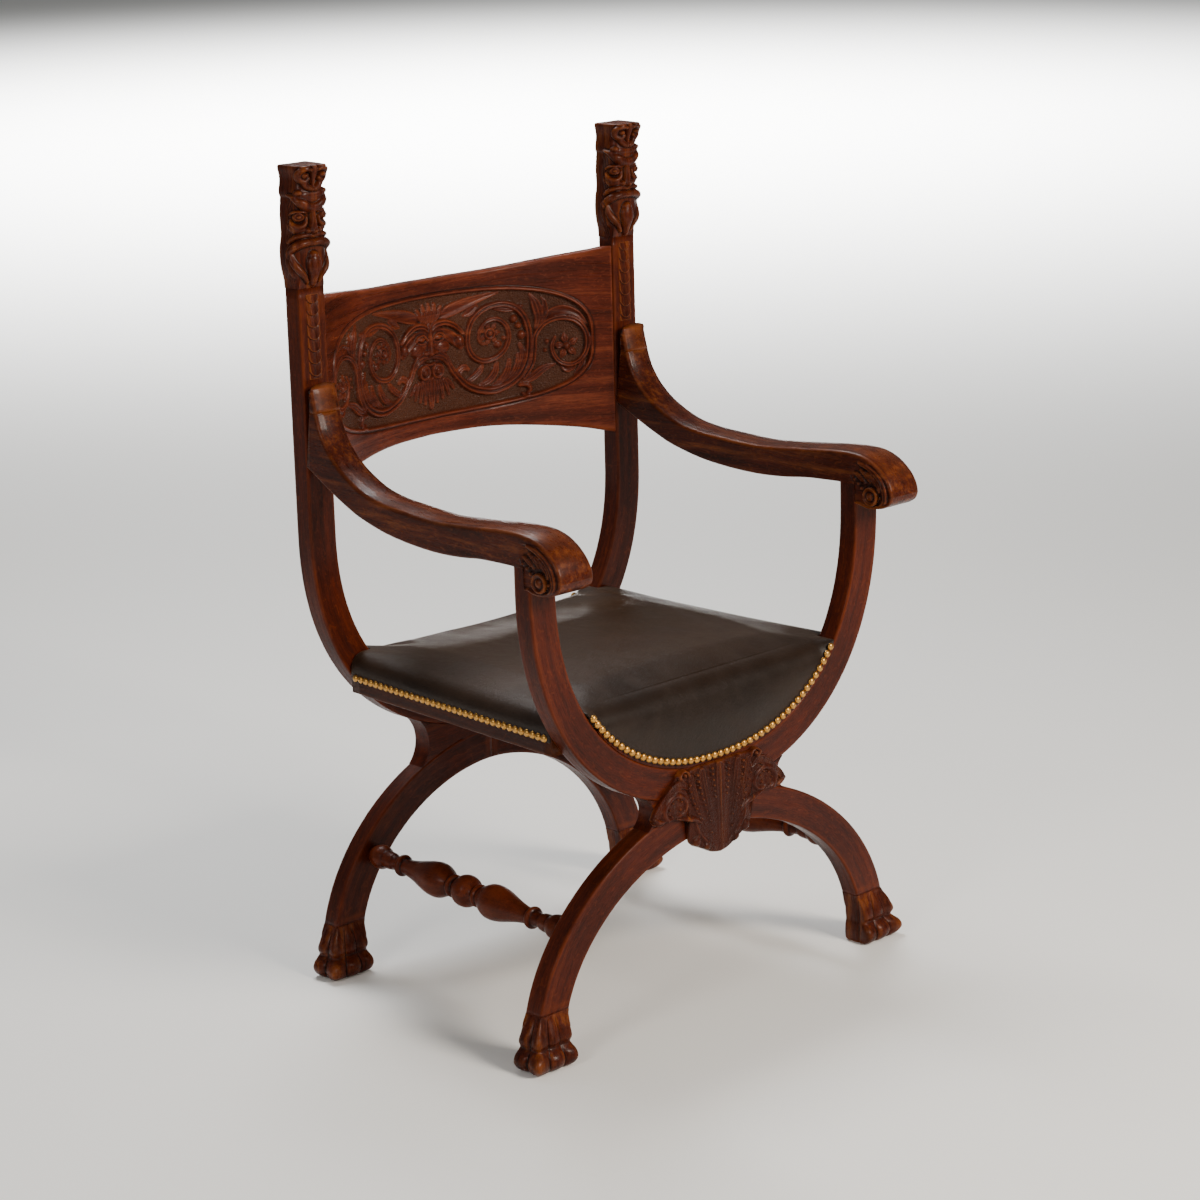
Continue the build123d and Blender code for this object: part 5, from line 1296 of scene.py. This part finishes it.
def cartouche():
    """Rows spread between the lower and upper edge at each x. The rise over the flat back is
    4.5 mm plus the carving, and falls to 1.2 mm at the rim."""
    x = np.concatenate([np.linspace(-SHIELD_HALF, -60, 75)[:-1], np.linspace(-60, 60, 121),
                        np.linspace(60, SHIELD_HALF, 75)[1:]])
    top, low = smooth_line(SHIELD_TOP, 300), smooth_line(SHIELD_LOW, 300)
    top_z = np.interp(np.abs(x), top[:, 0], top[:, 1])
    low_z = np.interp(np.abs(x), np.maximum.accumulate(low[:, 0]), low[:, 1])
    share = np.linspace(0, 1, 121)[:, None]
    z = low_z + share * (top_z - low_z)
    across = np.broadcast_to(x, z.shape)
    height = 0.85 * carve(np.abs(across), z, SHIELD, 1.5)
    rim = np.minimum(share, 1 - share) * (top_z - low_z)
    rim = np.clip(np.minimum(rim, (SHIELD_HALF - np.abs(across)) * 1.5) / 3.5, 0, 1)
    rise = 1.2 + (3.3 + height) * np.sqrt(rim * (2 - rim))
    front = np.stack([across, FRONT_Y - rise, z], -1)
    back = np.stack([across, np.full_like(z, FRONT_Y), z], -1)
    ground = rim * (1 - blend_in(height, 2.5, 5.0)) * 0.6
    return plate(front, back, front[..., [2, 0, 1]], ground, 6)


piece("carved_cartouche", cartouche(), shield_oak, nodes=["cartouche"], wear=(9, 1.4))

# %% [markdown]
# ## Mask finials
# The back posts end in grotesque masks: a knitted brow, almond eyes, a long nose, a drooping
# moustache over an open mouth with the tongue out, curled hair down the sides and a flared cap
# with a volute at each corner. The mask is a stock one of the workshops. A section through the
# head is a rounded square that swells and shrinks with height, and the features stand on it.

# %% Finials
HEAD_SHAPE = [  # height, stand in front of the post, half width
    (955, -0.3, 21.2), (962, 2.2, 21.6), (969, 4.0, 22.6), (979, 6.5, 25.0),
    (991, 6.5, 26.5), (1002, 6.5, 26.6), (1010, 7.0, 26.0), (1022, 6.0, 23.6),
    (1030, 6.0, 23.0), (1044, 7.0, 23.5), (1051, 7.0, 23.6), (1060, 7.5, 22.8),
    (1070, 9.5, 21.9), (1074, 9.0, 21.6), (1077, 10.5, 22.8), (1083, 12.0, 23.2),
    (1091, 11.0, 21.8), (1098, 11.5, 21.3), (1105, 13.5, 22.3), (1110, 15.5, 23.4),
    (1113, 16.0, 23.8), (1116, 16.0, 23.6)]
HEAD_MARKS = several([
    ("swell", 4, [(0, 1073, 10), (12, 1074, 10), (22, 1077, 6)]),
    ("swell", 4.5, [(14, 1033, 7), (24, 1034, 8), (33, 1037, 7)]),
    ("hollow", 3.5, [(19, 1054, 11, 6)]),
    ("round", 8.5, [(0, 1061, 6.5), (8, 1062, 7), (15, 1066.5, 6.5), (22, 1072, 5.2),
                    (29, 1076, 3.4), (36, 1078, 1.8)]),
    ("boss", 5, [(19, 1049.5, 8, 6)]),
    ("button", 6.8, [(18.5, 1050, 5.4, 5.2)]),
    ("round", 6.2, [(9.5, 1049, 1.8), (10.5, 1042, 2.8), (15, 1037.5, 3.8), (21, 1036.8, 4),
                    (27, 1040, 3.4), (30, 1046, 2.2)]),
    ("round", 4.6, [(9, 1054.5, 1.4), (14, 1056, 2), (21, 1056.5, 2.2), (28, 1055, 1.8),
                    (32, 1052, 1)]),
    ("round", 11, [(0, 1058, 3.2), (0, 1050, 4), (0, 1040, 5.2), (0, 1031, 6.5)]),
    ("boss", 12.5, [(0, 1031, 5, 5)]),
    ("boss", 8.5, [(8, 1031.5, 4.6, 4.6)]),
    ("round", 6.2, [(0, 1024, 3), (8, 1025.5, 3.6), (18, 1025, 3.8), (27, 1021.5, 3.6),
                    (34, 1016.5, 2.4)]),
    ("round", 8.8, [(0, 1015.5, 4.6), (8, 1016.5, 5.8), (17, 1015, 6.2), (25, 1010, 5.6),
                    (31, 1003.5, 4.2), (33, 998, 2.4)]),
    ("hollow", 13, [(0, 1003, 24, 8)]),
    ("hollow", 5, [(18, 991, 6, 10)]),
    ("round", 9.5, [(0, 998, 7), (0, 992, 9.4), (0, 984, 10), (0, 974, 8), (0, 965, 6),
                    (0, 957, 4)]),
    ("round", 6, [(28, 1001, 3), (26, 992, 4.6), (20.5, 982, 5), (14.5, 973, 4), (10, 964, 2.6)]),
    ("swell", 3.6, [(36, 1002, 7), (35, 988, 7.5), (30, 974, 5.5)]),
    ("boss", 5.5, [(21, 1080.5, 5.5, 4.5)]),
    ("round", 6, [(14, 1094, 5), (9.5, 1089, 4.6), (3, 1085.5, 4.4)]),
    ("round", 7, [(0, 1090, 2.4), (0, 1098, 4), (0, 1108, 5.4), (0, 1113, 4.4)]),
    ("round", 7.5, [(6, 1110, 3), (13, 1111.5, 4), (20, 1107, 4.2), (20.5, 1099.5, 4),
                    (14.5, 1095.5, 3.8), (9, 1099, 3)]),
    ("boss", 9, [(13.5, 1103, 4.6, 4.4)]),
])


FACE_HALF = 40.0  # the marks reach this far from the middle, round to the straight sides


def finial():
    """Section: |x / w|^4 + |y / d|^4 = 1 in front of the post's middle, straight sides behind it,
    and turned into the post's own rectangle over the lowest 20 mm."""
    z = np.linspace(HEAD_BASE, HEAD_TOP - 3, 190)[:, None]
    heights, *columns = smooth_line(HEAD_SHAPE, 400).T
    stand, wide = (np.interp(z, heights, column) for column in columns)
    turn = np.linspace(-pi / 2, pi / 2, 400)
    ring = np.stack([np.sign(np.sin(turn)) * np.abs(np.sin(turn)) ** 0.5, np.cos(turn) ** 0.5], -1)
    ring = even(ring, 111)
    post = 1 - blend_in(z, HEAD_BASE, HEAD_BASE + 20)
    square = 1 + 0.94 * post * (1 / np.abs(ring).max(axis=1) - 1)
    x = wide * ring[:, 0] * square
    y = REAR_Y + BOARD / 2 - (stand + BOARD / 2) * ring[:, 1] * square
    out = np.stack([np.sign(ring[:, 0]) * np.abs(ring[:, 0]) ** 3, -ring[:, 1] ** 3], -1)
    out /= np.linalg.norm(out, axis=1, keepdims=True)
    fade = blend_in(z, HEAD_BASE - 1, HEAD_BASE + 5)

    def features(across):
        """Height of the marks, fading into the post."""
        return carve(across, np.broadcast_to(z, across.shape), HEAD_MARKS, 2.2)

    across = np.linspace(-1, 1, 111) * FACE_HALF * np.ones_like(z)
    hair_cut = 0.9 * np.sin(across * 1.3 + 2.5 * np.sin(z / 9) + z / 3)
    hair_cut = hair_cut * blend_in(np.abs(across), 26, 30) * blend_in(1074 - z, 0, 4)
    height = (features(np.abs(across)) + hair_cut) * fade
    x, y = x + out[:, 0] * height, y + out[:, 1] * height
    behind = np.broadcast_to(np.linspace(0, BOARD / 2, 13)[1:], (len(z), 12))
    back = REAR_Y + BOARD / 2 + behind
    hair = features(FACE_HALF + behind) * fade * np.linspace(1, 0, 12)
    plain_back = wide * np.linspace(1, -1, 14)[1:-1]
    xs = np.concatenate([-(wide + hair)[:, ::-1], x, wide + hair, plain_back], 1)
    ys = np.concatenate([back[:, ::-1], y, back, np.full_like(plain_back, REAR_Y + BOARD)], 1)
    points = np.stack([POST_X + xs, ys, np.broadcast_to(z, xs.shape)], -1)
    middle = np.array([POST_X, REAR_Y + 8, HEAD_TOP - 3])
    turns = np.linspace(0, pi / 2, 6)[1:, None, None]
    inwards = (points[-1:] - middle) / np.linalg.norm(points[-1:] - middle, axis=2, keepdims=True)
    rounded = points[-1:] - 3 * inwards * (1 - np.cos(turns)) + [0, 0, 3] * np.sin(turns)
    points = np.concatenate([points, rounded])
    shrink = np.linspace(1, 0, 8)[:, None, None]
    caps = []
    for rim in points[[0, -1]]:
        centre = np.array([POST_X, REAR_Y + 8, rim[0, 2]])
        caps.append(centre + (rim - centre) * shrink)
    return [(p, p[..., [2, 0, 1]], True) for p in (points, *caps)]


pair("grotesque_finial", finial(), carved_oak, ["mask_finial"], wear=(9, 1.1), joint=HEAD_BASE)

# %% [markdown]
# ## Plain parts of the construction
# The glue blocks, the end rails, the crossing webs and the dowels keep their construction
# shapes. They get the same oak by position, and the cloth and steel under the seat theirs.

# %% Finishes of the plain parts
PLAIN = {"seat_webbing": jute, "seat_burlap": burlap, "arm_screws": steel}
for name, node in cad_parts.items():
    if not node.hide_render:
        node.data.materials.clear()
        node.data.materials.append(PLAIN.get(name, block_oak))
print("plain parts:", sorted(n for n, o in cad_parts.items() if not o.hide_render))

# %% [markdown]
# ## Camera, floor and light
# The chair is seen from its left front, a little above the seat, with a long lens. The room is
# a plain pale studio: a broad soft light in front, a weaker one on the left, one overhead, and
# a dim surround that fills the shadows. The lights are areas, so the varnish shows long soft
# reflections and no hard spots. A wide lamp far behind the chair lights only the backdrop.

# %% Camera and studio
def aim(name, azimuth, elevation, roll, place, lens):
    """Camera at a place in metres, with back = (sin a cos e, -cos a cos e, sin e) and a roll."""
    a, e, r = radians(azimuth), radians(elevation), radians(roll)
    back = Vector((sin(a) * cos(e), -cos(a) * cos(e), sin(e)))
    right = Vector((cos(a), sin(a), 0))
    up = back.cross(right)
    turned_right, turned_up = cos(r) * right + sin(r) * up, cos(r) * up - sin(r) * right
    data = bpy.data.cameras.new(name)
    data.lens, data.sensor_width, data.clip_end = lens, 36.0, 60.0
    turned = Matrix((turned_right, turned_up, back)).transposed().to_4x4()
    camera = put(name, data)
    camera.matrix_world = Matrix.Translation(place) @ turned
    return camera


def softbox(name, place, target, size, power, tint):
    """Square area light that looks at a target."""
    data = bpy.data.lights.new(name, "AREA")
    data.shape, data.size, data.energy, data.color = "SQUARE", size, power, colour(tint)[:3]
    lamp = put(name, data)
    lamp.location = place
    lamp.rotation_euler = (Vector(place) - Vector(target)).to_track_quat("Z", "Y").to_euler()
    return lamp


bpy.context.scene.camera = aim("studio_view", -43.479, 14.828, -1.546, (-2.8159, -3.0011, 1.6008),
                               94.429)
softbox("key_light", (0.6, -3.4, 2.4), (0, 0, 0.6), 1.1, 170, "#FFF4E6")
softbox("side_light", (-3.2, -0.8, 1.9), (0, 0, 0.5), 0.9, 30, "#FFFAF4")
softbox("top_light", (0.5, 1.4, 3.0), (0, 0, 0.5), 1.2, 80, "#FFFFFF")
softbox("backdrop_light", (7, 8, 6), (7, 8.01, 0), 6.0, 2600, "#FFFFFF").data.spread = radians(100)
world = bpy.data.worlds.new("studio")
world.use_nodes = True
connect(world.node_tree, world.node_tree.nodes["Background"], Color="#F4F4F2", Strength=0.22)
bpy.context.scene.world = world
floor_mesh = bpy.data.meshes.new("studio_floor")
floor_mesh.from_pydata([(-20, -20, 0), (20, -20, 0), (20, 20, 0), (-20, 20, 0)], [], [(0, 1, 2, 3)])
floor_paint, tree, shader = new_material("pale_studio_floor")
connect(tree, shader, Base_Color="#F6F6F4", Roughness=0.9)
floor_mesh.materials.append(floor_paint)
floor = put("studio_floor", floor_mesh)
print("camera and", len(bpy.data.lights), "lights")
